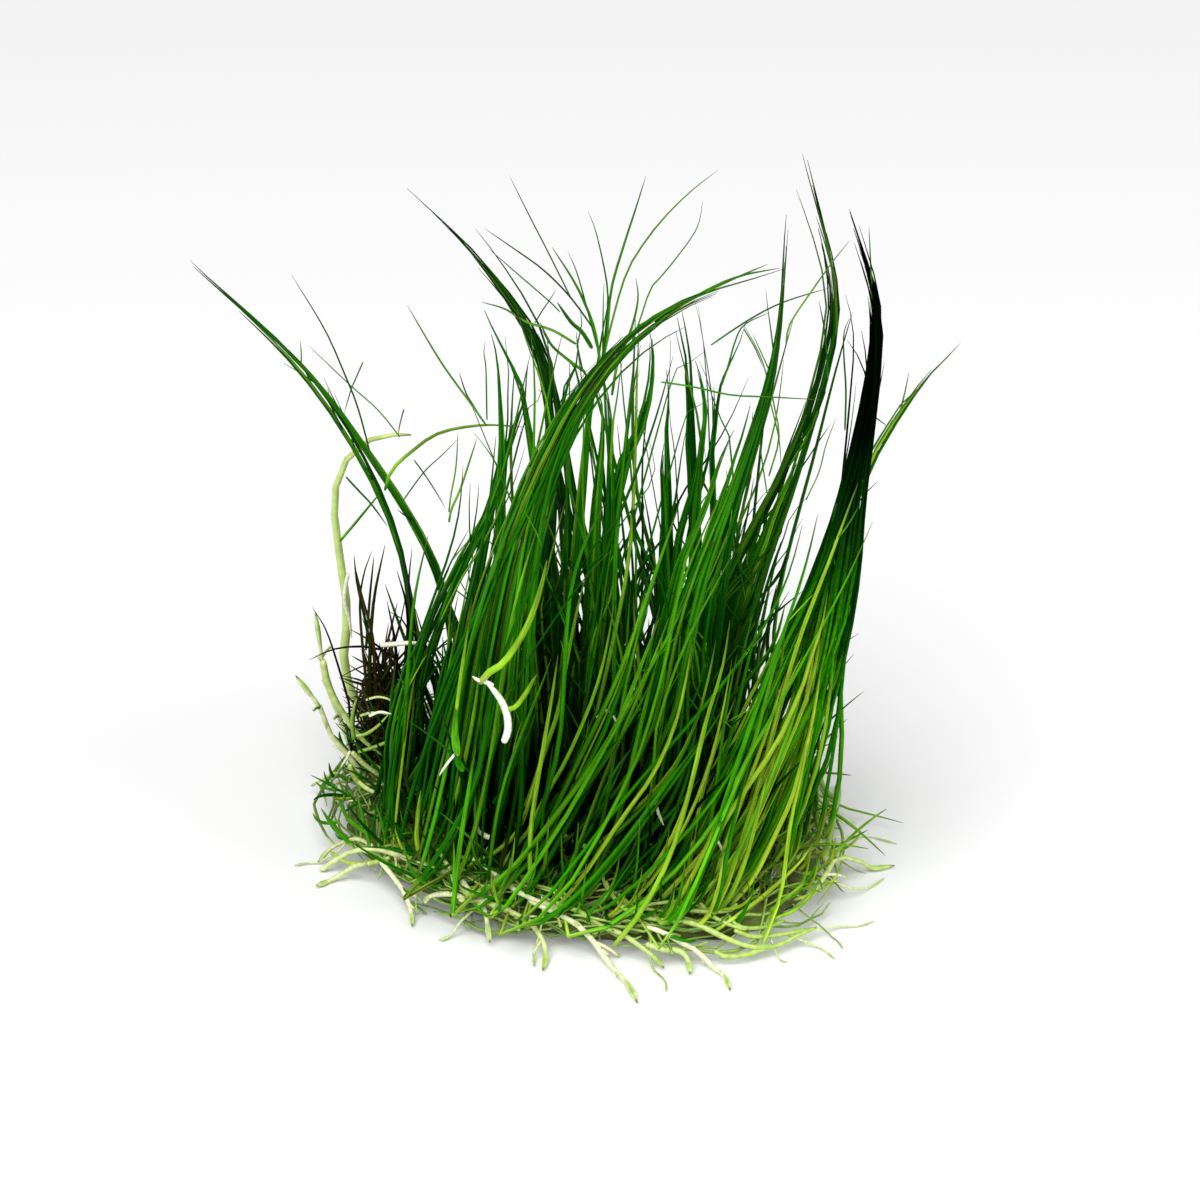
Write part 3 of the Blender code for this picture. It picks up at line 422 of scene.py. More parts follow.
# Blades in front: half width, tone from 0, dark green, to 1, lime, the depth of the tip, and the points of
# the picture that each passes from its foot on the pad up
FRONT_BLADES = {
    "front_a": (0.25, 0.9, -17, (552, 912), (562, 902), (583, 876), (604, 845), (622, 818), (645, 787),
        (662, 757), (676, 722), (686, 680), (692, 640)),
    "front_b": (0.22, 0.85, -16, (574, 857), (590, 850), (610, 835), (632, 812), (655, 790), (678, 760),
        (696, 722), (708, 680), (716, 640)),
    "front_c": (0.24, 0.6, -16, (563, 873), (580, 863), (600, 848), (622, 828), (650, 800), (672, 772),
        (690, 738), (702, 700)),
    "front_d": (0.28, 0.85, -18, (613, 946), (630, 927), (645, 905), (660, 878), (673, 848), (684, 812),
        (692, 780), (699, 750), (706, 720), (716, 690), (724, 660), (730, 620)),
    "front_e": (0.27, 0.97, -18, (628, 893), (645, 880), (660, 858), (672, 838), (683, 812), (692, 782),
        (700, 750), (712, 700)),
    "front_f": (0.2, 0.9, -18, (610, 918), (634, 900), (655, 876), (672, 850), (690, 815), (702, 785),
        (714, 748), (724, 705), (732, 660)),
    "front_g": (0.3, 0.95, -18, (655, 905), (672, 888), (695, 862), (712, 843), (728, 815), (745, 790),
        (760, 768), (776, 745), (790, 715), (803, 685), (812, 655), (822, 625), (828, 590)),
    "front_h": (0.26, 0.88, -17, (692, 907), (704, 893), (722, 872), (738, 850), (750, 832), (762, 806),
        (772, 782), (783, 755), (795, 728), (806, 698), (816, 662), (822, 620)),
    "front_i": (0.28, 0.97, -16, (730, 906), (752, 880), (768, 850), (780, 825), (792, 798), (800, 770),
        (808, 740), (816, 700), (822, 660)),
    "front_j": (0.22, 1.0, -16, (715, 931), (745, 910), (775, 886), (800, 862), (815, 840)),
    "front_k": (0.24, 0.9, -16, (762, 946), (770, 925), (781, 893), (787, 850), (792, 815), (800, 780),
        (807, 745), (814, 705)),
    "front_l": (0.26, 0.45, -15, (615, 857), (640, 838), (662, 815), (678, 785), (690, 752), (698, 715)),
    "front_m": (0.24, 0.4, -15, (628, 882), (650, 860), (666, 832), (680, 800), (690, 765), (697, 725)),
    "front_n": (0.22, 0.55, -16, (697, 882), (704, 852), (711, 820), (717, 782), (722, 740), (728, 700),
        (737, 655)),
    "middle_a": (0.2, 0.25, -14, (553, 895), (547, 870), (542, 842), (543, 815), (548, 780), (553, 745)),
    "middle_b": (0.26, 0.85, -17, (533, 896), (530, 870), (530, 845), (532, 818), (537, 785), (542, 755),
        (548, 720), (553, 690), (558, 655)),
    "middle_c": (0.26, 0.88, -16, (464, 868), (480, 860), (500, 849), (517, 832), (528, 806), (536, 778),
        (543, 750), (549, 720)),
    "middle_d": (0.28, 0.8, -16, (500, 850), (515, 827), (527, 803), (537, 775), (546, 748), (555, 722),
        (561, 700), (565, 670), (571, 640), (577, 610), (586, 575)),
    "middle_e": (0.24, 0.8, -16, (497, 873), (513, 850), (530, 828), (543, 800), (558, 775), (570, 752),
        (582, 725), (592, 700), (601, 672), (608, 640), (614, 605)),
    "middle_f": (0.24, 0.5, -14, (540, 818), (556, 798), (570, 774), (583, 745), (595, 712)),
    "middle_g": (0.28, 0.4, -12, (565, 846), (590, 811), (604, 780), (616, 748), (626, 715), (636, 680)),
    "middle_h": (0.2, 0.75, -12, (620, 800), (622, 765), (624, 730), (626, 700), (623, 665), (616, 632),
        (606, 600)),
    "middle_i": (0.24, 0.6, -12, (629, 788), (632, 755), (638, 712), (645, 675), (652, 640), (660, 605)),
    "middle_j": (0.2, 0.5, -10, (651, 800), (657, 760), (660, 720), (659, 685)),
    "middle_k": (0.15, 0.8, -8, (583, 812), (577, 796), (573, 775), (574, 750)),
    "middle_l": (0.2, 0.85, -12, (511, 784), (517, 762), (521, 750), (528, 730)),
    "left_a": (0.26, 0.8, -15, (441, 846), (449, 822), (457, 795), (464, 765), (470, 735), (476, 700),
        (480, 665)),
    "left_b": (0.24, 0.5, -12, (456, 833), (467, 810), (473, 780), (480, 745), (487, 710), (493, 670)),
    "left_c": (0.24, 0.45, -12, (455, 841), (478, 820), (498, 797), (512, 772), (526, 740), (538, 705)),
    "left_d": (0.22, 0.9, -14, (468, 800), (480, 766), (490, 738), (500, 713), (512, 686)),
    "left_e": (0.28, 0.6, -10, (394, 812), (400, 797), (413, 775), (425, 755), (436, 730), (444, 700),
        (450, 665), (456, 630)),
    "left_f": (0.18, 0.7, -6, (406, 815), (404, 795), (407, 770), (410, 745), (413, 715), (414, 690)),
    "left_g": (0.22, 0.35, -2, (391, 785), (389, 755), (390, 725), (392, 695), (396, 660)),
    "left_h": (0.2, 0.45, -2, (395, 748), (397, 720), (399, 695), (403, 665)),
    "left_i": (0.28, 0.6, -4, (356, 736), (372, 728), (385, 712), (395, 693), (405, 670), (412, 645)),
    "left_j": (0.18, 0.5, -4, (424, 736), (418, 715), (412, 695), (408, 680)),
    "right_a": (0.26, 0.75, -13, (722, 812), (745, 772), (758, 745), (768, 722), (776, 695), (781, 665),
        (785, 630)),
    "right_b": (0.3, 0.5, -12, (690, 772), (705, 735), (725, 705), (745, 683), (765, 658), (777, 635),
        (785, 605)),
    "right_c": (0.28, 0.95, -15, (770, 826), (778, 795), (787, 765), (797, 735), (805, 705), (811, 668),
        (817, 630)),
    "right_d": (0.24, 0.85, -14, (786, 822), (792, 790), (800, 755), (808, 715), (814, 675), (818, 640)),
    "right_e": (0.24, 0.35, -12, (660, 822), (674, 798), (690, 770), (701, 745), (712, 715), (722, 685)),
    "right_f": (0.2, 0.6, -12, (692, 790), (698, 760), (701, 725), (700, 690), (696, 655), (688, 620)),
}

# Fine blades that stand off by themselves: half width, depth, and the points of the picture that each passes
STRAYS = {
    "left_long": (0.1, 8, (372, 460), (358, 408), (345, 375), (325, 330), (291, 274)),
    "left_cross": (0.08, 8, (400, 437), (378, 410), (350, 385), (308, 345)),
    "left_body_tip": (0.12, 2, (486, 425), (469, 401), (441, 362), (407, 305)),
    "left_body_short": (0.09, 2, (487, 420), (486, 369), (484, 354), (485, 341)),
    "fork_a": (0.11, 4, (598, 382), (604, 345), (608, 300), (605, 272), (596, 232), (588, 211)),
    "fork_b": (0.16, 4, (596, 390), (606, 345), (611, 291), (623, 248), (635, 211), (646, 176)),
    "fork_c": (0.12, 4, (600, 375), (610, 330), (625, 277), (640, 249), (662, 220), (690, 192), (718, 170)),
    "fork_d": (0.09, 4, (628, 352), (640, 320), (650, 290), (659, 279), (677, 257), (697, 228), (703, 200)),
    "fork_e": (0.1, 4, (594, 330), (581, 311), (565, 291), (541, 268), (510, 246), (484, 228)),
    "fork_f": (0.08, 5, (560, 312), (549, 301), (520, 276), (489, 249)),
    "fork_g": (0.08, 5, (572, 300), (546, 248), (531, 219), (509, 175)),
    "fork_h": (0.17, 3, (604, 385), (600, 360), (594, 327), (582, 297), (572, 278), (552, 247)),
    "fork_i": (0.1, 3, (598, 350), (584, 297), (576, 270), (568, 252)),
    "sweep_upper": (0.15, -8, (655, 322), (690, 300), (733, 279), (768, 264)),
    "sweep_lower": (0.15, -8, (660, 318), (705, 291), (740, 276), (780, 268)),
    "level_right": (0.1, -9, (661, 382), (694, 387), (731, 395), (770, 397), (824, 400)),
    "bar_right": (0.1, -4, (711, 345), (742, 324), (768, 309), (792, 299), (829, 288)),
    "bar_right_up": (0.1, -4, (786, 345), (790, 324), (811, 292), (831, 264), (850, 240)),
    "right_fine_a": (0.08, 2, (832, 270), (824, 240), (816, 216)),
    "right_fine_b": (0.11, 0, (828, 380), (827, 355), (824, 327), (819, 301)),
    "right_fine_c": (0.11, 0, (845, 430), (846, 390), (844, 357), (844, 333), (850, 317)),
    "right_edge_fine": (0.09, -5, (872, 300), (871, 270), (870, 248), (869, 227)),
    "right_hair_low": (0.09, -8, (833, 691), (829, 708), (820, 721)),
    "right_hair_mid": (0.08, -8, (822, 662), (830, 666), (836, 676)),
    "right_side_fine": (0.08, -5, (868, 412), (887, 426)),
    "far_right_up": (0.11, -2, (880, 445), (896, 422), (904, 396), (909, 372)),
    "left_shoot_a": (0.19, 9, (372, 655), (364, 614), (357, 582), (354, 555)),
    "left_shoot_b": (0.17, 9, (366, 650), (368, 625), (370, 596), (374, 556)),
    "hanging_a": (0.08, -9, (771, 404), (779, 439), (781, 465)),
    "hanging_b": (0.09, -4, (744, 329), (755, 348), (763, 367)),
    "arch_left": (0.2, 6, (385, 490), (392, 470), (411, 452), (439, 433), (482, 425), (523, 427)),
    "left_fork": (0.08, 8, (363, 362), (356, 378), (351, 390), (344, 414)),
    "left_spur": (0.08, 8, (404, 409), (400, 424), (398, 436)),
    "stem_twig": (0.16, 12, (340, 541), (352, 527), (366, 510), (381, 492)),
    "stem_cross": (0.12, 12, (346, 477), (358, 490), (372, 505), (388, 527)),
    "rising_left": (0.08, 6, (402, 502), (424, 472), (441, 456), (458, 439)),
    "falling_left": (0.08, 6, (414, 460), (425, 475), (436, 492), (446, 509)),
    "dark_left_a": (0.14, 3, (449, 522), (452, 508), (460, 490), (470, 460), (477, 438)),
    "dark_left_b": (0.1, 3, (449, 512), (451, 495), (456, 467), (458, 432)),
    "left_tip": (0.1, 3, (482, 420), (473, 405), (466, 393), (459, 372)),
    "beside_tall_b": (0.15, 6, (576, 344), (552, 330), (526, 322), (505, 309), (481, 302)),
    "across_tall": (0.17, 5, (585, 372), (575, 365), (554, 348), (546, 335), (540, 322)),
    "web_centre_a": (0.23, 4, (592, 348), (582, 332), (571, 322), (557, 302)),
    "web_centre_b": (0.07, 4, (535, 323), (542, 311), (549, 301), (556, 290)),
    "web_centre_c": (0.16, 4, (612, 395), (618, 362), (631, 330), (638, 300), (636, 278)),
    "net_right_a": (0.1, -2, (769, 476), (779, 439), (775, 409), (769, 384), (760, 355), (744, 325)),
    "net_right_b": (0.08, -2, (767, 493), (760, 439), (765, 397)),
    "net_right_c": (0.1, -2, (722, 385), (729, 363), (735, 342), (744, 325), (770, 312)),
    "net_right_d": (0.08, 0, (806, 500), (819, 472), (826, 445), (836, 418)),
    "net_right_e": (0.08, 0, (800, 470), (812, 452), (819, 441), (830, 425)),
}

# The lumps of clear gel, each as large as its solid
GELS = ("gel_right", "gel_left")

# Height and half width of a blade's rings, as shares of its length and of its full half width
BLADE_PROFILE = (
    (0, 0.7), (0.03, 0.95), (0.1, 1), (0.18, 1), (0.26, 0.99), (0.34, 0.97), (0.42, 0.95), (0.5, 0.92),
    (0.58, 0.88), (0.66, 0.82), (0.74, 0.74), (0.81, 0.64), (0.87, 0.53), (0.92, 0.4), (0.965, 0.26),
    (1, 0.1))
# A bulb swells just above its foot
BULB_PROFILE = (
    (0, 0.25), (0.05, 0.6), (0.14, 0.92), (0.25, 1), (0.4, 0.9), (0.6, 0.68), (0.8, 0.5), (1, 0.36))
# A clinging thread is thicker where it meets the locks
THREAD_PROFILE = (
    (0, 0.3), (0.08, 1), (0.2, 0.85), (0.32, 0.65), (0.44, 0.55), (0.56, 0.55), (0.68, 0.7), (0.8, 0.9),
    (0.92, 1), (1, 0.3))
HAIR_PROFILE = ((0, 1), (0.3, 0.95), (0.65, 0.75), (1, 0.25))
# A root is even in width, and ends in a slender pointed bud
ROOT_PROFILE = (
    (0, 0.6), (0.02, 0.9), (0.1, 1), (0.2, 0.95), (0.32, 1.02), (0.44, 0.94), (0.56, 0.96), (0.66, 0.86),
    (0.74, 0.78), (0.79, 0.8), (0.83, 0.95), (0.87, 1.08), (0.91, 1.0), (0.95, 0.74), (0.98, 0.4), (1, 0.12))
FIBRE_PROFILE = (
    (0, 0.5), (0.05, 0.9), (0.18, 1), (0.34, 0.95), (0.5, 1), (0.66, 0.9), (0.8, 0.8), (0.92, 0.55),
    (1, 0.15))
STEM_PROFILE = (
    (0, 0.8), (0.03, 1), (0.1, 1.0), (0.18, 0.92), (0.26, 1.0), (0.34, 0.95), (0.42, 0.9), (0.5, 0.88),
    (0.58, 0.84), (0.66, 0.78), (0.74, 0.72), (0.82, 0.64), (0.9, 0.52), (0.96, 0.4), (1, 0.2))


def colour_setting(name, description, default):
    return FloatVectorProperty(
        name=name, description=description, subtype="COLOR", default=default, min=0, max=1)


def number_setting(name, description, default):
    return IntProperty(name=name, description=description, default=default, min=1)


class BladeSettings(PropertyGroup):
    """Sizes and colours of the grass blades."""

    half_width: FloatProperty(
        name="Half Width", description="Half the width of a blade at its widest", default=0.235 * MM,
        unit="LENGTH", precision=6)
    fullness: FloatProperty(
        name="Fullness", description="Blades that a tuft bears, as a share of its usual number", default=1.0,
        min=0.3)
    sheaf_reach: FloatProperty(
        name="Tuft Radius", description="How far from a tuft's middle its blades stand", default=2.9 * MM,
        unit="LENGTH", precision=6)
    foot_colour: colour_setting("Foot", "Pale colour where a blade leaves its runner", (0.30, 0.46, 0.05))
    fresh_colour: colour_setting("Fresh", "Colour of the young blades in front", (0.038, 0.225, 0.0006))
    green_colour: colour_setting("Green", "Colour of the blades in the middle", (0.018, 0.165, 0.0004))
    deep_colour: colour_setting("Deep", "Colour of the oldest, deepest green blades", (0.012, 0.115, 0.0003))
    old_colour: colour_setting("Old", "Maroon of the shoots that are dying back", (0.06, 0.017, 0.006))


class RootSettings(PropertyGroup):
    """Numbers and colours of the runners, the roots and the pad they make."""

    ivory_colour: colour_setting("Ivory", "Colour of the bare runners and roots", (0.80, 0.82, 0.50))
    lime_colour: colour_setting("Lime", "Colour of the runners that have seen light", (0.44, 0.60, 0.12))
    bud_colour: colour_setting("Bud", "Colour of the buds at the ends", (0.30, 0.50, 0.07))
    litter_colour: colour_setting("Litter", "Brown of dead sheaths and old roots", (0.16, 0.07, 0.02))
    rim_runners: number_setting("Rim Runners", "Runners that follow the pad's rim", 190)
    rim_roots: number_setting("Rim Roots", "Thin roots that hang over the rim", 30)
    fibres: number_setting("Fibres", "Fine fibres tangled over the pad", 420)
    litter: number_setting("Litter", "Dead strands round the feet of the old shoots", 620)
    inner_shoots: number_setting("Inner Shoots", "Short dark shoots between the tufts", 440)
    belt_shoots: number_setting("Belt Shoots", "Short green shoots in front of the blades' feet", 260)
    short_shoots: number_setting("Short Shoots", "Young shoots round the pad", 280)


class GelSettings(PropertyGroup):
    """The clear gel that the plants were raised in."""

    tint: colour_setting("Tint", "Colour that the gel takes on where it is thick", (0.86, 0.88, 0.62))
    density: FloatProperty(
        name="Absorption", description="How fast the gel takes up light, per metre", default=60)


class StudioSettings(PropertyGroup):
    """The plain studio round the plant."""

    floor_half: FloatProperty(
        name="Floor Half Size", description="Half the side of the floor", default=3.0, unit="LENGTH")
    floor_colour: colour_setting("Floor", "Colour of the floor", (0.8, 0.8, 0.8))
    key_power: FloatProperty(
        name="Key Light", description="Power of the main light", default=13.0, unit="POWER")
    fill_power: FloatProperty(
        name="Fill Light", description="Power of the light opposite", default=3.0, unit="POWER")
    sky_strength: FloatProperty(
        name="Surrounding Light", description="Strength of the white surroundings", default=0.3)


def colours_of(settings, *parts):
    return [tuple(getattr(settings, part + "_colour")) for part in parts]


# The pad's form


def pad_radius(angle):
    """The pad's radius in the direction of an angle that is measured from its long axis."""
    along = np.abs(np.cos(angle) / PAD_HALF_LENGTH) ** PAD_SQUARENESS
    across = np.abs(np.sin(angle) / PAD_HALF_WIDTH) ** PAD_SQUARENESS
    bays = 1 + 0.03 * np.sin(3 * angle + 1) + 0.02 * np.sin(5 * angle + 2.2)
    return (along + across) ** (-1 / PAD_SQUARENESS) * bays


def pad_share(x, y):
    """How far out on the pad a place is: 0 in the middle and 1 on the rim."""
    return np.hypot(x, y) / pad_radius(np.arctan2(y, x) - PAD_TURN)


def pad_height(x, y):
    """The height of the pad's top at places in plan."""
    share = np.minimum(1.0, pad_share(x, y))
    dome = (1 - share**3) ** 0.6
    lumps = PAD_LUMP * np.sin(0.55 * x + 1) * np.cos(0.5 * y) * (1 - share**2)
    return PAD_RIM_HEIGHT + (PAD_HEIGHT - PAD_RIM_HEIGHT) * dome + lumps


def pad_place(angle, share):
    """The place in plan at a direction from +X and a share of the pad's radius there."""
    reach = pad_radius(angle - PAD_TURN) * share
    return reach * np.cos(angle), reach * np.sin(angle)


def lying_height(x, y, lift, half):
    """The height of a lying strand's middle: over the pad, down past its rim, and at rest on the floor."""
    past = np.hypot(x, y) * (1 - 1 / np.maximum(pad_share(x, y), 1e-3))
    fall = np.clip(1 - past / 2.6, 0, 1)
    over = pad_height(x, y) + half + lift
    beyond = half + (PAD_RIM_HEIGHT + lift) * fall * fall * (3 - 2 * fall)
    return np.where(past < 0, over, np.maximum(half, beyond))


def plant_shade_depth(places):
    """How far in among the stems a place is: 0 outside, and near 1 low down in the middle. It sets how strong
    the painted shade is there.
    """
    x, y, z = places.T
    sunk = np.clip((1.0 - pad_share(x - 0.08 * z, y)) / 0.26, 0, 1)
    return sunk * np.clip(1.45 - z / 25, 0, 1)


# Smooth lines through points


def smooth_line(points, samples=60):
    """Many points on a smooth curve that passes the given ones."""
    points = np.array(points, float)
    points = np.vstack((2 * points[0] - points[1], points, 2 * points[-1] - points[-2]))
    place = np.linspace(0, len(points) - 3 - 1e-6, samples + 1)
    first = place.astype(int)
    t = (place - first)[:, None]
    a, b, c, d = (points[first + step] for step in range(4))
    return 0.5 * (2 * b + (c - a) * t + (2 * a - 5 * b + 4 * c - d) * t**2 + (3 * b - a - 3 * c + d) * t**3)


def along_line(line, shares):
    """The points of a line at shares of its length."""
    steps = np.linalg.norm(np.diff(line, axis=0), axis=1)
    lengths = np.concatenate(([0.0], np.cumsum(steps))) / steps.sum()
    return np.stack([np.interp(shares, lengths, line[:, axis]) for axis in range(line.shape[1])], axis=-1)


def unit(vectors):
    return vectors / np.maximum(np.linalg.norm(vectors, axis=-1, keepdims=True), 1e-9)


def picture_ray(across, down):
    """Where the camera stands, and the way from it through a point of the picture."""
    right = (across - PICTURE / 2) / PICTURE * SENSOR / LENS
    up = (PICTURE / 2 - down) / PICTURE * SENSOR / LENS
    low, high = math.sin(ELEVATION), math.cos(ELEVATION)
    stand = (LOOKED_AT[0], LOOKED_AT[1] - CAMERA_DISTANCE * high, LOOKED_AT[2] + CAMERA_DISTANCE * low)
    return stand, (right, high + up * low, up * high - low)


def seen_at(across, down, depth):
    """The place at a depth (y) behind a point of the picture, in millimetres."""
    stand, away = picture_ray(across, down)
    run = (depth - stand[1]) / away[1]
    return tuple(start + run * step for start, step in zip(stand, away))


def seen_line(seen, depth):
    """A smooth line at one depth behind points of the picture."""
    return smooth_line([seen_at(across, down, depth) for across, down in seen])


def seen_resting(across, down, half, lift):
    """The place behind a point of the picture where a strand rests on the pad or on the floor."""
    stand, away = picture_ray(across, down)
    height = PAD_RIM_HEIGHT
    for _ in range(14):
        run = (height - stand[2]) / away[2]
        x, y = stand[0] + run * away[0], stand[1] + run * away[1]
        height += 0.5 * (float(lying_height(x, y, lift, half)) - height)
    return x, y, height


# Blanks, modelled straight and upright, and bent copies of them


def round_blank(sides, profile):
    """A straight strand of length 1 on the origin, extruded ring by ring from a round foot."""
    bpy.ops.object.select_all(action="DESELECT")
    bpy.ops.mesh.primitive_circle_add(
        vertices=sides, radius=profile[0][1], fill_type="NGON", location=(0, 0, 0))
    strand = bpy.context.object
    bpy.ops.object.mode_set(mode="EDIT")
    bpy.ops.mesh.select_all(action="SELECT")
    for (low, width), (high, wider) in zip(profile, profile[1:]):
        bpy.ops.mesh.extrude_region_move(TRANSFORM_OT_translate={"value": (0, 0, high - low)})
        bpy.ops.transform.resize(value=(wider / width, wider / width, 1), center_override=(0, 0, high))
    bpy.ops.mesh.select_all(action="SELECT")
    bpy.ops.mesh.normals_make_consistent(inside=False)
    bpy.ops.object.mode_set(mode="OBJECT")
    blank = read_blank(strand.data)
    bpy.data.objects.remove(strand)
    return blank


def read_blank(mesh):
    """The blank's corners and faces, each corner's ring, and each face corner's place on the wrap."""
    points = np.array([corner.co for corner in mesh.vertices])
    heights, ring = np.unique(points[:, 2].round(4), return_inverse=True)
    faces = [tuple(face.vertices) for face in mesh.polygons]
    wrap = []
    for face in faces:
        turn = np.arctan2(points[face, 1], points[face, 0]) / FULL_TURN % 1
        turn[turn < turn.max() - 0.5] += 1
        wrap.extend(zip(turn, points[face, 2]))
    return dict(points=points, heights=heights, ring=ring.reshape(-1), faces=faces, wrap=np.array(wrap))


def bent_copies(blank, spines, half_widths, turns):
    """Copies of the blank, one along each spine: an array of copies by corners by 3."""
    ahead = unit(np.gradient(spines, axis=1))
    side = np.empty_like(ahead)
    last = np.cross(ahead[:, 0], (0.3, 1.0, 0.1))
    for ring in range(ahead.shape[1]):
        flat = last - (last * ahead[:, ring]).sum(axis=1, keepdims=True) * ahead[:, ring]
        last = side[:, ring] = unit(flat)
    over = np.cross(ahead, side)
    ring = blank["ring"]
    x, y = blank["points"][:, 0], blank["points"][:, 1]
    cos, sin = np.cos(turns)[:, None], np.sin(turns)[:, None]
    right = (x * cos - y * sin) * half_widths[:, None]
    up = (x * sin + y * cos) * half_widths[:, None]
    return spines[:, ring] + right[..., None] * side[:, ring] + up[..., None] * over[:, ring]


class Bundle:
    """Bent copies that are joined into one mesh, each with a tone of its own between 0 and 1."""

    def __init__(self):
        self.points, self.faces, self.wraps, self.tones = [], [], [], []
        self.count = 0

    def add(self, blank, spines, half_widths, tones, turns=None):
        spines = np.asarray(spines, float)
        half_widths = np.broadcast_to(np.asarray(half_widths, float), len(spines))
        tones = np.broadcast_to(np.asarray(tones, float), len(spines))
        turns = np.zeros(len(spines)) if turns is None else turns
        copies = bent_copies(blank, spines, half_widths, turns)
        corners = copies.shape[1]
        for number in range(len(copies)):
            start = self.count + number * corners
            self.faces.extend([tuple(start + corner for corner in face) for face in blank["faces"]])
        self.points.append(copies.reshape(-1, 3))
        self.wraps.append(np.tile(blank["wrap"], (len(copies), 1)))
        self.tones.append(np.repeat(tones, corners))
        self.count += len(copies) * corners

    def lay(self, blank, line, half_width, tone):
        """One copy of the blank along a whole line."""
        self.add(blank, [along_line(line, blank["heights"])], half_width, tone)

    def finish(self, name, finish, slot, *nodes, sunk=1.0):
        """The joined mesh as a piece of the plant, in metres, in place of the frame's nodes."""
        points = np.vstack(self.points)
        mesh = bpy.data.meshes.new(name)
        mesh.from_pydata(np.clip(points * MM, *CAD_BOX), [], self.faces)
        wraps = np.vstack(self.wraps).astype(np.float32)
        mesh.uv_layers.new(name="wrap").data.foreach_set("uv", wraps.ravel())
        give(mesh, "tone", np.concatenate(self.tones))
        # How strong the painted shade among the stems is at each corner, scaled by sunk
        give(mesh, "inside", sunk * plant_shade_depth(points))
        mesh.shade_smooth()
        return placed(linked(name, mesh), finish, slot, *nodes)


def give(mesh, name, values):
    """A value at each corner of the mesh, for its finish to read."""
    mesh.attributes.new(name, "FLOAT", "POINT").data.foreach_set("value", values.astype(np.float32))


def linked(name, data):
    """A new object in the scene."""
    made = bpy.data.objects.new(name, data)
    bpy.context.collection.objects.link(made)
    return made


def placed(piece, finish, slot, *nodes):
    """The piece with its finish, riding on the plant's one body, in place of the frame's nodes."""
    piece.data.materials.clear()
    piece.data.materials.append(finish)
    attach(piece, "root")
    if nodes:
        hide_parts(*nodes)
    return piece


# Finishes


class Finish:
    """A new material whose Principled BSDF is fed by nodes."""

    def __init__(self, name):
        self.material = bpy.data.materials.new(name)
        self.material.use_nodes = True
        self.tree = self.material.node_tree
        self.shader = self.tree.nodes["Principled BSDF"]

    def node(self, kind, inputs=(), **values):
        """A node with its values set, and its inputs set or linked by name or number."""
        made = self.tree.nodes.new(kind)
        for name, value in values.items():
            setattr(made, name, value)
        for name, value in dict(inputs).items():
            self.feed(made, name, value)
        return made

    def feed(self, node, name, value):
        if isinstance(value, bpy.types.NodeSocket):
            self.tree.links.new(value, node.inputs[name])
        else:
            node.inputs[name].default_value = value

    def set(self, **values):
        for name, value in values.items():
            self.feed(self.shader, name.replace("_", " ").title().replace("Ior", "IOR"), value)

    def math(self, operation, *values):
        made = self.node("ShaderNodeMath", operation=operation)
        for index, value in enumerate(values):
            self.feed(made, index, value)
        return made.outputs[0]

    def spread(self, value, low, high, start=0.0, stop=1.0):
        """A value from start to stop, spread over low to high."""
        made = self.node("ShaderNodeMapRange", {
            "Value": value, "From Min": start, "From Max": stop, "To Min": low, "To Max": high})
        return made.outputs["Result"]

    def attribute(self, name):
        return self.node("ShaderNodeAttribute", attribute_name=name).outputs["Fac"]

    def wrap(self):
        """How far round the strand and how far along it a point is, and its tone."""
        uv = self.node("ShaderNodeUVMap", uv_map="wrap").outputs["UV"]
        parts = self.node("ShaderNodeSeparateXYZ", {"Vector": uv})
        return parts.outputs["X"], parts.outputs["Y"], self.attribute("tone")

    def noise(self, scale, detail=3.0, roughness=0.55, vector=None):
        """Noise at so many lumps to the metre on the plant, or on a vector of its own."""
        if vector is None:
            vector = self.node("ShaderNodeTexCoord").outputs["Object"]
        made = self.node("ShaderNodeTexNoise", {
            "Vector": vector, "Scale": scale, "Detail": detail, "Roughness": roughness})
        return made.outputs["Fac"]

    def ramp(self, value, *stops):
        made = self.node("ShaderNodeValToRGB", {"Fac": value})
        points = made.color_ramp.elements
        while len(points) < len(stops):
            points.new(1.0)
        for point, (place, colour) in zip(points, stops):
            point.position = place
            point.color = (*colour, 1.0)
        return made.outputs["Color"]

    def mix(self, share, first, second):
        made = self.node("ShaderNodeMix", data_type="RGBA")
        self.feed(made, 0, share)
        for index, colour in ((6, first), (7, second)):
            self.feed(made, index, colour if isinstance(colour, bpy.types.NodeSocket) else (*colour, 1.0))
        return made.outputs[2]

    def lit(self, colour, value):
        """The colour, brighter or darker by a factor."""
        return self.node("ShaderNodeHueSaturation", {"Color": colour, "Value": value}).outputs["Color"]

    def bump(self, height, distance, strength):
        made = self.node("ShaderNodeBump", {"Height": height, "Distance": distance, "Strength": strength})
        self.set(normal=made.outputs["Normal"])


def shade(colour, factor):
    return tuple(min(1.0, part * factor) for part in colour)


# How much redder, greener and bluer the brightest blade is than a common one
LIME_RISE = (9.5, 2.3, 50)
# Nearly all of a noise, and all of a wave, lies between these values
NOISE_SPAN = (0.3, 0.7)
WAVE_SPAN = (-1, 1)
# The two ends of a ramp that says how much of a colour shows
NONE = (0, 0, 0)
ALL = (1, 1, 1)


def own_green(finish, tone, body, bright):
    """A blade's own green, from dark and cool to bright and yellow by its tone."""
    red, green, blue = body
    redder, greener, bluer = bright
    return finish.ramp(
        tone, (0.0, (red * 0.12, green * 0.34, blue)), (0.4, (red * 0.5, green * 0.9, blue)),
        (0.72, (red * redder * 0.24, green * greener * 0.66, blue * bluer * 0.2)),
        (1.0, (min(1, red * redder), green * greener, blue * bluer)))


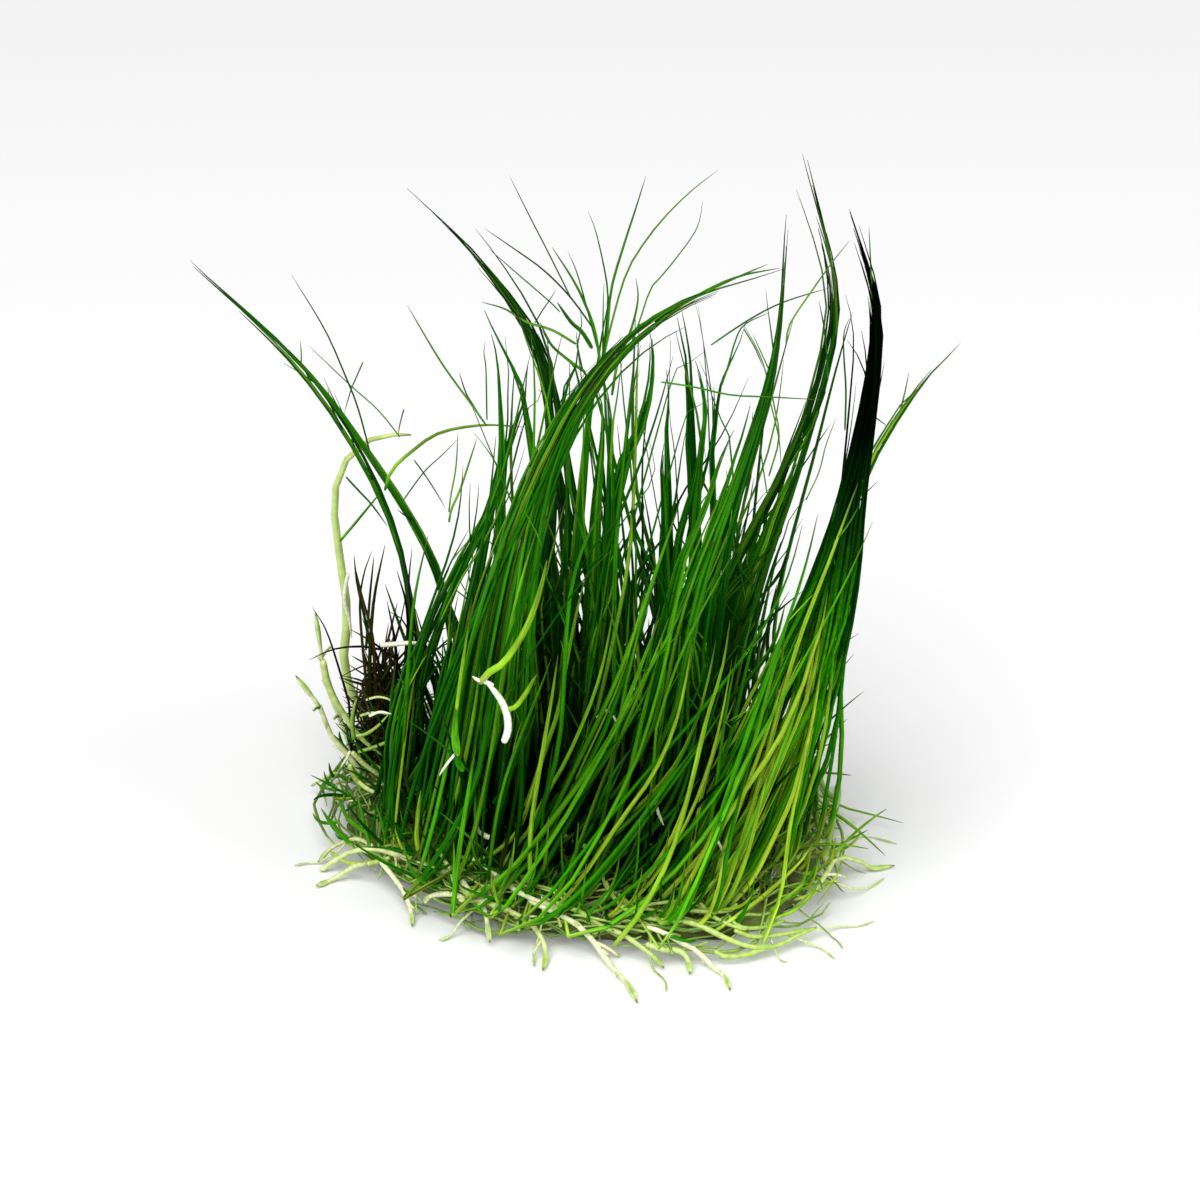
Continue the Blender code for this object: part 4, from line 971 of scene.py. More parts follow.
def blade_finish(name, foot, body, tip, top=0.7, shine=0.03, bright=LIME_RISE, shade_between=None):
    """Wet green blade, ribbed along its length: a pale foot, a brighter lower part and a darker top, which is
    partly its own colour and partly painted shade, with painted shade deep among the stems.
    """
    finish = Finish(name)
    turn, along, tone = finish.wrap()
    # Painted shade at the right edge: the tone falls between its two heights, for tops lit from behind
    if shade_between:
        place = finish.node("ShaderNodeTexCoord").outputs["Object"]
        height = finish.node("ShaderNodeSeparateXYZ", {"Vector": place}).outputs["Z"]
        low, high = shade_between
        tone = finish.math("SUBTRACT", tone, finish.spread(height, 0.0, 0.9, low - 12 * MM, high - 10 * MM))
    feet = finish.ramp(along, (0.0, ALL), (0.03, (0.8, 0.8, 0.8)), (0.1, NONE))
    tips = finish.ramp(along, (0.0, NONE), (0.86, NONE), (1.0, ALL))
    colour = finish.mix(tips, finish.mix(feet, own_green(finish, tone, body, bright), foot), tip)
    ribs = finish.node("ShaderNodeCombineXYZ", {
        "X": finish.math("MULTIPLY", turn, 9.0), "Y": finish.math("MULTIPLY", along, 3.0),
        "Z": finish.math("MULTIPLY", tone, 40.0)}).outputs["Vector"]
    streaks = finish.noise(1.0, 2.0, 0.6, ribs)
    mottle = finish.noise(420.0, 2.0)
    value = finish.math(
        "MULTIPLY", finish.spread(streaks, 0.5, 1.5, *NOISE_SPAN),
        finish.spread(mottle, 0.86, 1.14, *NOISE_SPAN))
    # Painted shade deep among the stems: down to a tenth as bright there, and without gloss
    inside = finish.attribute("inside")
    value = finish.math("MULTIPLY", value, finish.spread(inside, 1.0, 0.1))
    # Brighter low down and darker towards the top: partly the blade's own colour, partly painted shade of
    # tops lit from behind
    value = finish.math("MULTIPLY", value, finish.spread(along, 1.25, top, 0.15, 0.8))
    # At the right edge the painted shade goes to black between its two heights
    if shade_between:
        value = finish.math("MULTIPLY", value, finish.spread(height, 1.0, 0.05, low, high))
    finish.set(
        base_color=finish.lit(colour, value), roughness=finish.spread(mottle, 0.3, 0.46, *NOISE_SPAN),
        specular_ior_level=finish.spread(inside, shine, 0.0))
    finish.bump(streaks, 0.00005, 0.6)
    return finish.material


def root_finish(name, bare, green, bud, litter, wet=1.0):
    """Turgid runner or root: ivory to lime skin with faint joints, a green bud and a brown point."""
    finish = Finish(name)
    turn, along, tone = finish.wrap()
    skin = finish.ramp(
        tone, (0.2, bare), (0.55, green), (0.78, tuple(np.array(green) * (0.5, 0.62, 0.3))),
        (1.0, tuple(np.array(green) * (0.2, 0.33, 0.08))))
    end = finish.ramp(along, (0.0, NONE), (0.76, NONE), (0.86, ALL), (1.0, ALL))
    streak = finish.spread(finish.math("SINE", finish.math("MULTIPLY", turn, 19.0)), 0.25, 0.95, *WAVE_SPAN)
    colour = finish.mix(finish.math("MULTIPLY", end, streak), skin, bud)
    point = finish.ramp(along, (0.0, NONE), (0.965, NONE), (0.99, ALL))
    colour = finish.mix(point, colour, litter)
    grime = finish.noise(900.0, 4.0, 0.6)
    colour = finish.mix(finish.spread(grime, 0, 0.55, 0.6, 0.8), colour, litter)
    rings = finish.math("SINE", finish.math("MULTIPLY", along, 75.0))
    value = finish.math(
        "MULTIPLY", finish.spread(rings, 0.9, 1.06, *WAVE_SPAN),
        finish.spread(grime, 1.12, 0.88, *NOISE_SPAN))
    finish.set(
        base_color=finish.lit(colour, value), roughness=finish.spread(grime, 0.28, 0.5, *NOISE_SPAN),
        specular_ior_level=0.5 * wet, coat_weight=0.2 * wet, coat_roughness=0.15)
    finish.bump(finish.math("ADD", finish.math("MULTIPLY", rings, 0.3), grime), 0.00006, 0.5)
    return finish.material


def mat_finish(name, lime, litter):
    """The pad's own body: dark wet tangle, olive where it is green and brown where it has died, and painted
    near black as shade under the plant.
    """
    finish = Finish(name)
    coarse = finish.noise(170.0, 5.0, 0.65)
    fine = finish.noise(1300.0, 5.0, 0.7)
    # The middle's near-black colour: partly the tangle's own dark, partly painted shade under the plant
    deep = finish.ramp(
        coarse, (0.3, (0.003, 0.006, 0.002)), (0.45, (0.008, 0.016, 0.003)), (0.56, shade(lime, 0.06)),
        (0.72, shade(lime, 0.12)))
    deep = finish.mix(finish.spread(fine, 0, 0.8, 0.5, 0.7), deep, shade(litter, 0.3))
    rim = finish.ramp(coarse, (0.35, shade(lime, 0.1)), (0.5, shade(lime, 0.3)), (0.7, shade(lime, 0.6)))
    rim = finish.mix(finish.spread(fine, 0, 0.7, 0.5, 0.7), rim, shade(lime, 0.12))
    # Painted shade: the rim's colour gives way to the near-black middle by the inside attribute
    colour = finish.mix(finish.spread(finish.attribute("inside"), 0, 1, 0.6, 0.95), rim, deep)
    rough = finish.spread(fine, 0.35, 0.7, *NOISE_SPAN)
    finish.set(base_color=colour, roughness=rough, specular_ior_level=0.25)
    finish.bump(finish.math("ADD", coarse, fine), 0.0006, 0.8)
    return finish.material


def gel_finish(name, tint, density):
    """Clear set gel, see-through all over, with a faint tint in its depth."""
    finish = Finish(name)
    skin = finish.noise(900.0, 3.0)
    finish.set(
        base_color=(1, 1, 1, 1), roughness=finish.spread(skin, 0.02, 0.1, *NOISE_SPAN), ior=1.335,
        transmission_weight=1.0)
    finish.bump(skin, 0.0002, 0.3)
    depth = finish.node("ShaderNodeVolumeAbsorption", {"Color": (*tint, 1.0), "Density": density})
    finish.tree.links.new(depth.outputs["Volume"], finish.tree.nodes["Material Output"].inputs["Volume"])
    return finish.material


# Tufts


def wisp_frames(wisp):
    """The wisp's middle at even steps, and the two directions across it there."""
    foot = wisp["foot"]
    start = (*foot, float(pad_height(*foot)) + CROWN_TOP)
    knots = along_line(smooth_line((start, *wisp["path"])), np.linspace(0, 1, KNOTS + 1))
    ahead = unit(np.gradient(knots, axis=0))
    across = unit(np.array((1.0, 0, 0)) - ahead[:, :1] * ahead)
    back = unit(np.array((0, 1.0, 0)) - ahead[:, 1:2] * ahead)
    return knots, across, back


def tuft_feet(wisp):
    """Each tuft's place from the middle of its wisp."""
    count = wisp["tufts"]
    if count == 1:
        return [np.zeros(2)]
    radius = TUFT_SPACING / (2 * math.sin(math.pi / count))
    turns = [RING_TURN + FULL_TURN * number / count for number in range(count)]
    return [radius * np.array((math.cos(turn), math.sin(turn))) for turn in turns]


def eased(share):
    share = np.clip(share, 0, 1)
    return share * share * (3 - 2 * share)


def is_parted(wisp):
    """Whether the wisp opens into several locks at its top."""
    return wisp["gather"] > PARTED_FROM


def lock_paths(wisp, longest, dice):
    """The wet locks that a tuft's blades close into: their way out, lean, end, flat side and twist."""
    locks = 2 if is_parted(wisp) else 1
    turn = dice.uniform(0, FULL_TURN) + np.arange(locks) * FULL_TURN / 2
    out = dice.uniform(0.7, 1.7, locks)[:, None] * np.stack((np.cos(turn), np.sin(turn)), axis=1)
    lean = dice.normal(0, 1, (locks, 2)) * (2.2 if is_parted(wisp) else 0.15)
    end = dice.uniform(wisp["shortest"] + 0.12, 0.95, locks)
    end[0] = longest
    return dict(
        out=out * is_parted(wisp), lean=lean, end=end, flat=dice.uniform(0, math.pi, locks),
        twist=dice.normal(0, 1.2, locks))


def blade_ends(wisp, lock_ends, count, longest, dice):
    """The lock that each blade of a tuft is in, whether it goes astray, and where it ends.

    Most blades stay in their lock, some cross over to the next one, and some stop low down in the tuft."""
    lock = (dice.uniform(0, 1, count) < 0.34).astype(int) % len(lock_ends)
    kind = dice.uniform(0, 1, count)
    low = kind >= 0.86
    astray = (kind > 0.82 - 0.3 * wisp["gather"]) & ~low & (wisp["gather"] > 0.12)
    # A wisp that opens into several locks has most of its blades end well below its tip
    fall, power = (0.66, 0.48) if is_parted(wisp) else (0.38, 1.4)
    end = lock_ends[lock] * (1 - fall * dice.uniform(0, 1, count) ** power) * wisp.get("tip", 1.0)
    lock[0], astray[0], low[0] = 0, False, False
    end[0] = longest
    end = np.where(astray, dice.uniform(wisp["shortest"] * 0.8, 0.95, count), end)
    return lock, astray, np.where(low, dice.uniform(0.2, 0.55, count), end)


def in_tuft(wisp, locks, lock, share, heights, reach, dice):
    """Where blades stand: spread over the tuft at their feet, then side by side in a lock that thins out."""
    count = len(lock)
    turn = dice.uniform(0, FULL_TURN, count)
    out = np.sqrt(dice.uniform(0.02, 1, count))
    stand = (reach * out * np.array((np.cos(turn), np.sin(turn)))).T
    twisted = turn[:, None] + locks["twist"][lock][:, None] * share
    side, over = out[:, None] * np.cos(twisted), 0.5 * out[:, None] * np.sin(twisted)
    flat = locks["flat"][lock][:, None]
    cos, sin = np.cos(flat), np.sin(flat)
    in_lock = np.stack((side * cos - over * sin, side * sin + over * cos), axis=2)
    width = 0.3 * wisp.get("fat", 1.0) * math.sqrt(count) * (0.75 + wisp["gather"])
    rest = share / locks["end"][lock][:, None]
    thin = width * (1 - (0.86 if is_parted(wisp) else 0.93) * eased((rest - 0.25) / 0.75))
    if is_parted(wisp):
        # A blade that ends on the way up its lock lies close against the others there
        thin = thin * (1 - 0.85 * eased((heights - 0.55) / 0.4))
    shut = eased((share - 0.08) / (wisp["closed"] - 0.08))[..., None]
    fan = 1 + 0.3 * np.sin(np.clip(share / 0.25, 0, 1) * math.pi / 2)
    return stand[:, None] * fan[..., None] * (1 - shut) + in_lock * thin[..., None] * shut


def tuft_spines(wisp, frames, foot, heights, count, reach, longest, dice):
    """The middle lines of a tuft's blades, which rise apart and cling together in one or two wet locks."""
    gather = wisp["gather"]
    locks = lock_paths(wisp, longest, dice)
    lock, astray, end = blade_ends(wisp, locks["end"], count, longest, dice)
    share = end[:, None] * heights[None, :]
    beside = in_tuft(wisp, locks, lock, share, heights, reach, dice)
    gathered = 1 + (gather - 1) * eased(share)
    if not is_parted(wisp):
        gathered = gathered * (1 - 0.75 * eased((share - 0.2) / 0.45))
    opened = eased((share - 0.2) / 0.5)
    leave = dice.uniform(0.25, 0.6, (count, 1))
    cross = np.clip(share - leave, 0, 1) * astray[:, None]
    cross_reach = 4 + 14 * gather if is_parted(wisp) else 2.5
    cross_way = dice.normal(0, 1, (count, 2)) * cross_reach
    wave = dice.uniform(0, FULL_TURN, (count, 1))
    sway = np.sin(share * dice.uniform(5, 12, (count, 1)) + wave) - np.sin(wave)
    sway_way = dice.normal(0, 0.26, (count, 2)) * (0.4 + 1.4 * gather)
    curl = wisp.get("curl", 0.42) * dice.uniform(0.6, 1.3, (count, 1))
    bow = np.clip(1 - share / curl, 0, 1) ** 2 * dice.uniform(0, 1.4, (count, 1))
    strewn = dice.spawn(1)[0].normal(0, FOOT_SCATTER, (count, 1, 2))
    aside = (
        foot * gathered[..., None] + beside
        + locks["out"][lock][:, None] * opened[..., None]
        + locks["lean"][lock][:, None] * (share**1.8)[..., None]
        + cross_way[:, None] * cross[..., None]
        + sway_way[:, None] * (sway * eased(share / 0.3))[..., None]
        + np.array(wisp["spread"]) * bow[..., None]
        + strewn * (np.clip(1 - share / 0.36, 0, 1) ** 2)[..., None]
    )
    spines = beside_wisp(frames, share, aside)
    creep = dice.uniform(0.2, 0.6, (count, 1)) * min(6.0, math.hypot(*wisp["spread"]))
    spines[..., 2] -= creep * share / CREEP_SHARE * np.exp(1 - share / CREEP_SHARE)
    start = spines[:, 0, 2].copy()
    spines[:, 0] = on_pad(spines[:, 0], wisp.get("feet", FOOT_SHARE))
    spines[:, 1:, 2] += (spines[:, 0, 2] - start)[:, None] * (1 - share[:, 1:]) ** 2
    return spines, astray


def beside_wisp(frames, share, aside):
    """The places beside a wisp's middle at shares of its length."""
    steps = np.linspace(0, 1, KNOTS + 1)
    middle, right, behind = (
        np.stack([np.interp(share, steps, line[:, axis]) for axis in range(3)], axis=-1) for line in frames)
    return middle + aside[..., :1] * right + aside[..., 1:] * behind


def clinging_hairs(spines, count, heights, dice):
    """Short fine hairs that leave the upper part of some blades at a slant."""
    pick = dice.integers(0, len(spines), count)
    at = dice.integers(6, spines.shape[1] - 3, count)
    start = spines[pick, at]
    ahead = unit(spines[pick, at + 1] - start)
    way = unit(ahead + dice.normal(0, 0.36, (count, 3)))
    curl = dice.normal(0, 0.12, (count, 3))
    length = dice.uniform(2, 6.5, (count, 1))
    step = heights[None, :, None]
    hairs = start[:, None] + length[:, None] * (way[:, None] * step + curl[:, None] * step**2)
    return hairs[(start[:, 2] > 18) & (way[:, 2] > 0.65)]


def on_pad(places, kept=FOOT_SHARE):
    """Blade feet brought in from past a share of the way to the rim, and set just into the pad."""
    x, y = places[:, 0], places[:, 1]
    inward = np.minimum(1, kept / np.maximum(pad_share(x, y), 1e-3))
    x, y = x * inward, y * inward
    return np.stack((x, y, pad_height(x, y) - 0.5), axis=1)


def grow_wisp(name, wisp, blank, hair, finish, slot, settings, dice):
    """Every tuft of a wisp, in place of the frame's tuft of the same name."""
    grown = []
    frames = wisp_frames(wisp)
    feet = tuft_feet(wisp)
    count = max(4, round(wisp["blades"] * settings.fullness))
    reach = wisp.get("reach", 1.0) * settings.sheaf_reach / MM
    half_width = settings.half_width / MM * wisp.get("bold", 1.0)
    for number, foot in enumerate(feet, 1):
        longest = 1.0 if number == 1 else float(dice.uniform(0.86, 0.97))
        spines, astray = tuft_spines(wisp, frames, foot, blank["heights"], count, reach, longest, dice)
        half = half_width * dice.uniform(0.75, 1.2, count) * np.where(astray, 0.72, 1)
        tones = dice.uniform(wisp.get("paler", 0.0), 1, count)
        tuft = Bundle()
        tuft.add(blank, spines, half, tones, dice.uniform(0, 6.28, count))
        fine = clinging_hairs(spines, wisp.get("hairs", 7), hair["heights"], dice)
        tuft.add(hair, fine, 0.1, dice.uniform(0, 1, len(fine)))
        node = name if len(feet) == 1 else f"{name}_{number}"
        tuft.finish("blades_" + node, finish, slot, node, sunk=wisp.get("sunk", 1.0))
        grown.append(spines)
    return np.vstack(grown)


def at_heights(spine, z):
    """The places of a blade's middle line at heights."""
    x, y = (np.interp(z, spine[:, 2], spine[:, axis]) for axis in (0, 1))
    return np.stack((x, y, z), axis=1)


def bridges(spines, count, heights, dice):
    """Fine blades that leave one lock and join another one a little higher."""
    made = []
    while len(made) < count:
        first, second = spines[dice.integers(0, len(spines), 2)]
        top = min(first[-3, 2], second[-3, 2])
        rise = dice.uniform(6, 17)
        z = dice.uniform(0.4, 0.9) * top + rise * (heights - 1)
        low, high = at_heights(first, z), at_heights(second, z)
        apart = float(np.hypot(*(high - low)[len(z) // 2, :2]))
        if 1.0 < apart < 0.5 * rise and z[0] > 15:
            share = eased(heights * 1.3 - 0.15)[:, None]
            made.append(low * (1 - share) + high * share)
    return made


class HAIRGRASS_OT_blades(Operator):
    """Grow the grass blades of every wisp, tuft by tuft"""

    bl_idname = "hairgrass.blades"
    bl_label = "Grow Blades"

    def execute(self, context):
        settings = context.scene.hairgrass_blades
        blank = round_blank(5, BLADE_PROFILE)
        hair = round_blank(3, HAIR_PROFILE)
        foot, fresh, green, deep = colours_of(settings, "foot", "fresh", "green", "deep")
        # The deep and edge finishes darken most at the top, painted shade of tops lit from behind, and the
        # edge's tips are painted black
        finishes = {
            "fresh": blade_finish("blade_fresh", foot, fresh, (0.06, 0.09, 0.02), 0.9),
            "green": blade_finish("blade_green", shade(foot, 0.4), green, (0.03, 0.05, 0.01), 0.8),
            "deep": blade_finish("blade_deep", shade(foot, 0.15), deep, (0.008, 0.02, 0.004), 0.5),
            "edge": blade_finish(
                "blade_edge", foot, fresh, (0.001, 0.003, 0.0005), 0.5, 0.01, shade_between=EDGE_SHADE),
        }
        grown = {}
        for number, (name, wisp) in enumerate(WISPS.items()):
            dice = np.random.default_rng((SEED, number))
            kind = wisp["finish"]
            slot = "deep_blades" if kind == "edge" else kind + "_blades"
            grown[name] = grow_wisp(name, wisp, blank, hair, finishes[kind], slot, settings, dice)
        thread = round_blank(4, THREAD_PROFILE)
        dice = np.random.default_rng((SEED, 150))
        for finish, webs in WEBS.items():
            web = Bundle()
            for names, count in webs.items():
                lines = bridges(np.vstack([grown[name] for name in names]), count, thread["heights"], dice)
                web.add(thread, lines, dice.uniform(0.12, 0.28, count), dice.uniform(0.1, 0.9, count))
            web.finish("web_" + finish, finishes[finish], finish + "_blades")
        return {"FINISHED"}


class HAIRGRASS_OT_locks(Operator):
    """Grow the wet locks that net the upper part of the plant"""

    bl_idname = "hairgrass.locks"
    bl_label = "Grow Locks"

    # How far apart the blades of a lock lie, in half widths
    apart = 1.45

    def execute(self, context):
        green, = colours_of(context.scene.hairgrass_blades, "green")
        blank = round_blank(5, BLADE_PROFILE)
        finish = blade_finish("blade_lock", green, shade(green, 1.15), shade(green, 0.6), 0.95)
        dice = np.random.default_rng((SEED, 250))
        heights = blank["heights"]
        bundle = Bundle()
        for half, tone, depth, blades, *seen in LOCKS.values():
            depths = depth + np.linspace(1, dice.uniform(-2, 2), len(seen))
            shown = [seen_at(*place, behind) for place, behind in zip(seen, depths)]
            line = smooth_line([*self.way_up(shown), *shown])
            count = blades + 2 if blades > 1 else 1
            for number in range(count):
                beside = self.apart * half * (number - (count - 1) / 2)
                aside = np.array((beside, dice.uniform(-0.5, 0.5), 0))
                reach = 1.0 if number == count // 2 else dice.uniform(0.76, 0.99)
                spine = along_line(line, heights * reach) + aside * (1 - 0.85 * heights[:, None] ** 1.6)
                own_tone = np.clip(tone + dice.normal(-0.04, 0.2), 0, 1)
                bundle.add(blank, [spine], half * dice.uniform(0.85, 1.15), own_tone)
        bundle.finish("locks_upper", finish, "green_blades", sunk=0.9)
        return {"FINISHED"}

    @staticmethod
    def way_up(shown):
        """The part of a lock that the plant hides: from the pad, straight up to the lowest point seen."""
        lowest = np.array(shown[0])
        ahead = unit(np.array(shown[1]) - lowest)
        x = lowest[0] - 0.5 * np.clip(ahead[0], -0.4, 0.4) * lowest[2]
        foot = np.array((x, lowest[1] + 1.5, 0))
        foot[:2] = on_pad(foot[None])[0, :2]
        foot[2] = float(pad_height(*foot[:2])) - 0.3
        middle = 0.5 * (foot + lowest) + np.array((0, 0.8, 0))
        return [foot, middle]


class HAIRGRASS_OT_front_blades(Operator):
    """Grow the single blades that stand in front"""

    bl_idname = "hairgrass.front_blades"
    bl_label = "Grow Front Blades"

    def execute(self, context):
        pale, fresh = colours_of(context.scene.hairgrass_blades, "foot", "fresh")
        blank = round_blank(6, BLADE_PROFILE)
        finish = blade_finish("blade_front", pale, fresh, (0.06, 0.09, 0.02), 0.8)
        front = Bundle()
        for half, tone, top, *seen in FRONT_BLADES.values():
            foot = seen_resting(*seen[0], half, 0.0)
            depths = np.linspace(foot[1], top, len(seen))
            rest = [seen_at(*place, depth) for place, depth in zip(seen[1:], depths[1:])]
            front.lay(blank, smooth_line((foot, *rest)), half, tone)
        front.finish("blades_front", finish, "fresh_blades", sunk=0.4)
        return {"FINISHED"}


class HAIRGRASS_OT_old_shoots(Operator):
    """Grow the maroon shoots that are dying back at the left end"""

    bl_idname = "hairgrass.old_shoots"
    bl_label = "Grow Old Shoots"

    def execute(self, context):
        maroon, = colours_of(context.scene.hairgrass_blades, "old")
        blank = round_blank(5, BLADE_PROFILE)
        finish = blade_finish("blade_old", maroon, maroon, shade(maroon, 0.5), bright=(1.2, 2.5, 1))
        shoots = Bundle()
        for half, tone, *seen in OLD_SHOOTS.values():
            line = seen_line(seen, OLD_DEPTH)
            line[0, 2] = float(pad_height(*line[0, :2])) - 0.4
            shoots.lay(blank, line, half, tone)
        shoots.finish("blades_old_shoots", finish, "brown_shoots", "old_shoots")
        return {"FINISHED"}


class HAIRGRASS_OT_litter(Operator):
    """Heap the dead strands round the feet of the old shoots"""

    bl_idname = "hairgrass.litter"
    bl_label = "Heap Litter"

    # The heap's middle and reach in plan, its height, and the share of its reach past which no strand goes
    middle = (-21.4, 8.6)
    reach = (3.9, 4.4)
    height = 17.0
    kept = 1.35

    def execute(self, context):
        settings = context.scene.hairgrass_roots
        litter, lime = colours_of(settings, "litter", "lime")
        # The strands are dead litter, painted much darker than its own brown: painted shade in the hollow at
        # the left end
        finish = root_finish(
            "litter_skin", shade(litter, 0.2), shade(lime, 0.05), shade(lime, 0.1), shade(litter, 0.05),
            wet=0.1)
        blank = round_blank(5, FIBRE_PROFILE)
        dice = np.random.default_rng((SEED, 600))
        lines = self.strands(settings.litter, blank["heights"][None, :, None], dice)
        count = len(lines)
        heap = Bundle()
        heap.add(blank, lines, dice.uniform(0.09, 0.19, count), dice.uniform(0, 1, count) ** 1.2)
        heap.finish("shoots_litter", finish, "brown_shoots", "old_shoots")
        return {"FINISHED"}

    def strands(self, count, step, dice):
        """Curled strands that start all over a dome and keep near it."""
        height = self.height * dice.uniform(0.02, 0.9, count) ** 1.1
        turn = dice.uniform(0, FULL_TURN, count)
        out = np.sqrt((1 - (height / self.height) ** 2) * dice.uniform(0, 1, count))
        x = self.middle[0] + self.reach[0] * out * np.cos(turn)
        y = self.middle[1] + self.reach[1] * out * np.sin(turn)
        start = np.stack((x, y, height), axis=1)
        inward = np.stack((-np.cos(turn), -np.sin(turn), np.full(count, 0.6)), axis=1)
        way = unit(dice.normal(0, 1, (count, 3)) + 0.8 * inward)
        curl = dice.normal(0, 0.6, (count, 3))
        length = dice.uniform(2.2, 6.5, (count, 1, 1))
        lines = start[:, None] + length * (way[:, None] * step + curl[:, None] * step**2)
        lines[..., 2] = np.maximum(pad_height(lines[..., 0], lines[..., 1]), lines[..., 2])
        out = np.hypot(*((lines[..., axis] - self.middle[axis]) / self.reach[axis] for axis in (0, 1)))
        return lines[out.max(axis=1) < self.kept]


class HAIRGRASS_OT_strays(Operator):
    """Grow the fine single blades that stand off from the tufts"""

    bl_idname = "hairgrass.strays"
    bl_label = "Grow Stray Blades"

    def execute(self, context):
        green, = colours_of(context.scene.hairgrass_blades, "green")
        blank = round_blank(5, BLADE_PROFILE)
        finish = blade_finish("blade_stray", green, shade(green, 0.8), (0.06, 0.07, 0.04))
        dice = np.random.default_rng((SEED, 200))
        strays = Bundle()
        for half, depth, *seen in STRAYS.values():
            strays.lay(blank, seen_line(seen, depth), half, dice.uniform(0, 1))
        strays.finish("stray_blades", finish, "green_blades")
        return {"FINISHED"}


# The pad


class HAIRGRASS_OT_root_mat(Operator):
    """Build the pad's dark body"""

    bl_idname = "hairgrass.root_mat"
    bl_label = "Build Root Mat"

    # How far out each ring of the pad's top is, as a share of its radius
    rings = (0.97, 0.93, 0.87, 0.8, 0.72, 0.63, 0.53, 0.42, 0.3, 0.18, 0.08)
    # The body's own radius, as a share of the pad's with its runners
    body_share = 0.87

    def execute(self, context):
        bpy.ops.object.select_all(action="DESELECT")
        bpy.ops.mesh.primitive_circle_add(vertices=96, radius=1, fill_type="NGON", location=(0, 0, 0))
        pad = context.object
        pad.name = "mat_body"
        bpy.ops.object.mode_set(mode="EDIT")
        bpy.ops.mesh.select_all(action="SELECT")
        bpy.ops.mesh.extrude_region_move(TRANSFORM_OT_translate={"value": (0, 0, 1)})
        last = 1.0
        for share in self.rings:
            bpy.ops.mesh.inset(thickness=(last - share), use_boundary=True)
            last = share
        bpy.ops.mesh.poke()
        bpy.ops.mesh.select_all(action="SELECT")
        bpy.ops.mesh.normals_make_consistent(inside=False)
        bpy.ops.object.mode_set(mode="OBJECT")
        refine = pad.modifiers.new("refine", "SUBSURF")
        refine.subdivision_type = "SIMPLE"
        refine.levels = refine.render_levels = 1
        bpy.ops.object.modifier_apply(modifier=refine.name)
        for corner in pad.data.vertices:
            corner.co = self.on_form(corner.co)
        # How strong the painted shade under the plant is, for the pad's finish
        give(pad.data, "inside", plant_shade_depth(np.array([corner.co for corner in pad.data.vertices]) / MM))
        pad.data.shade_smooth()
        finish = mat_finish("mat_body", *colours_of(context.scene.hairgrass_roots, "lime", "litter"))
        placed(pad, finish, "root_pad", "root_mat")
        return {"FINISHED"}

    def on_form(self, point):
        """A corner of the round blank, moved to the pad's own outline, dome and lumps."""
        share = min(1.0, math.hypot(point.x, point.y))
        angle = math.atan2(point.y, point.x)
        x, y = pad_place(angle, share * self.body_share)
        rough = noise.fractal(Vector((x * 0.35, y * 0.35, point.z)), 0.9, 2.0, 4)
        top = (float(pad_height(x, y)) - 0.75 + 0.55 * rough) * (1 - 0.8 * share**7)
        side = 1 + 0.03 * rough
        return Vector((x * side, y * side, max(0.05, top * point.z + 0.05))) * MM


def wandering(start, heading, length, bend, heights, dice):
    """A line in plan from a start, that turns steadily and wanders as it goes."""
    share = heights[None, :]
    turn = heading[:, None] + bend[:, None] * share
    waves = share * dice.uniform(4, 9, (len(start), 1)) + dice.uniform(0, 6.28, (len(start), 1))
    turn = turn + 0.35 * np.sin(waves)
    step = np.diff(heights, prepend=0)[None, :] * length[:, None]
    x = start[:, :1] + np.cumsum(np.cos(turn) * step, axis=1)
    y = start[:, 1:] + np.cumsum(np.sin(turn) * step, axis=1)
    return x, y


def kept_in(x, y):
    """Places kept inside the box of the frame, with room for a strand's width."""
    low, high = (corner / MM for corner in CAD_BOX)
    return np.clip(x, low.x + 1, high.x - 1), np.clip(y, low.y + 1, high.y - 1)


def lying_strands(blank, x, y, z, half, tones):
    """Strands that lie inside the box of the frame, joined."""
    bundle = Bundle()
    bundle.add(blank, np.stack((*kept_in(x, y), z), axis=2), half, tones)
    return bundle


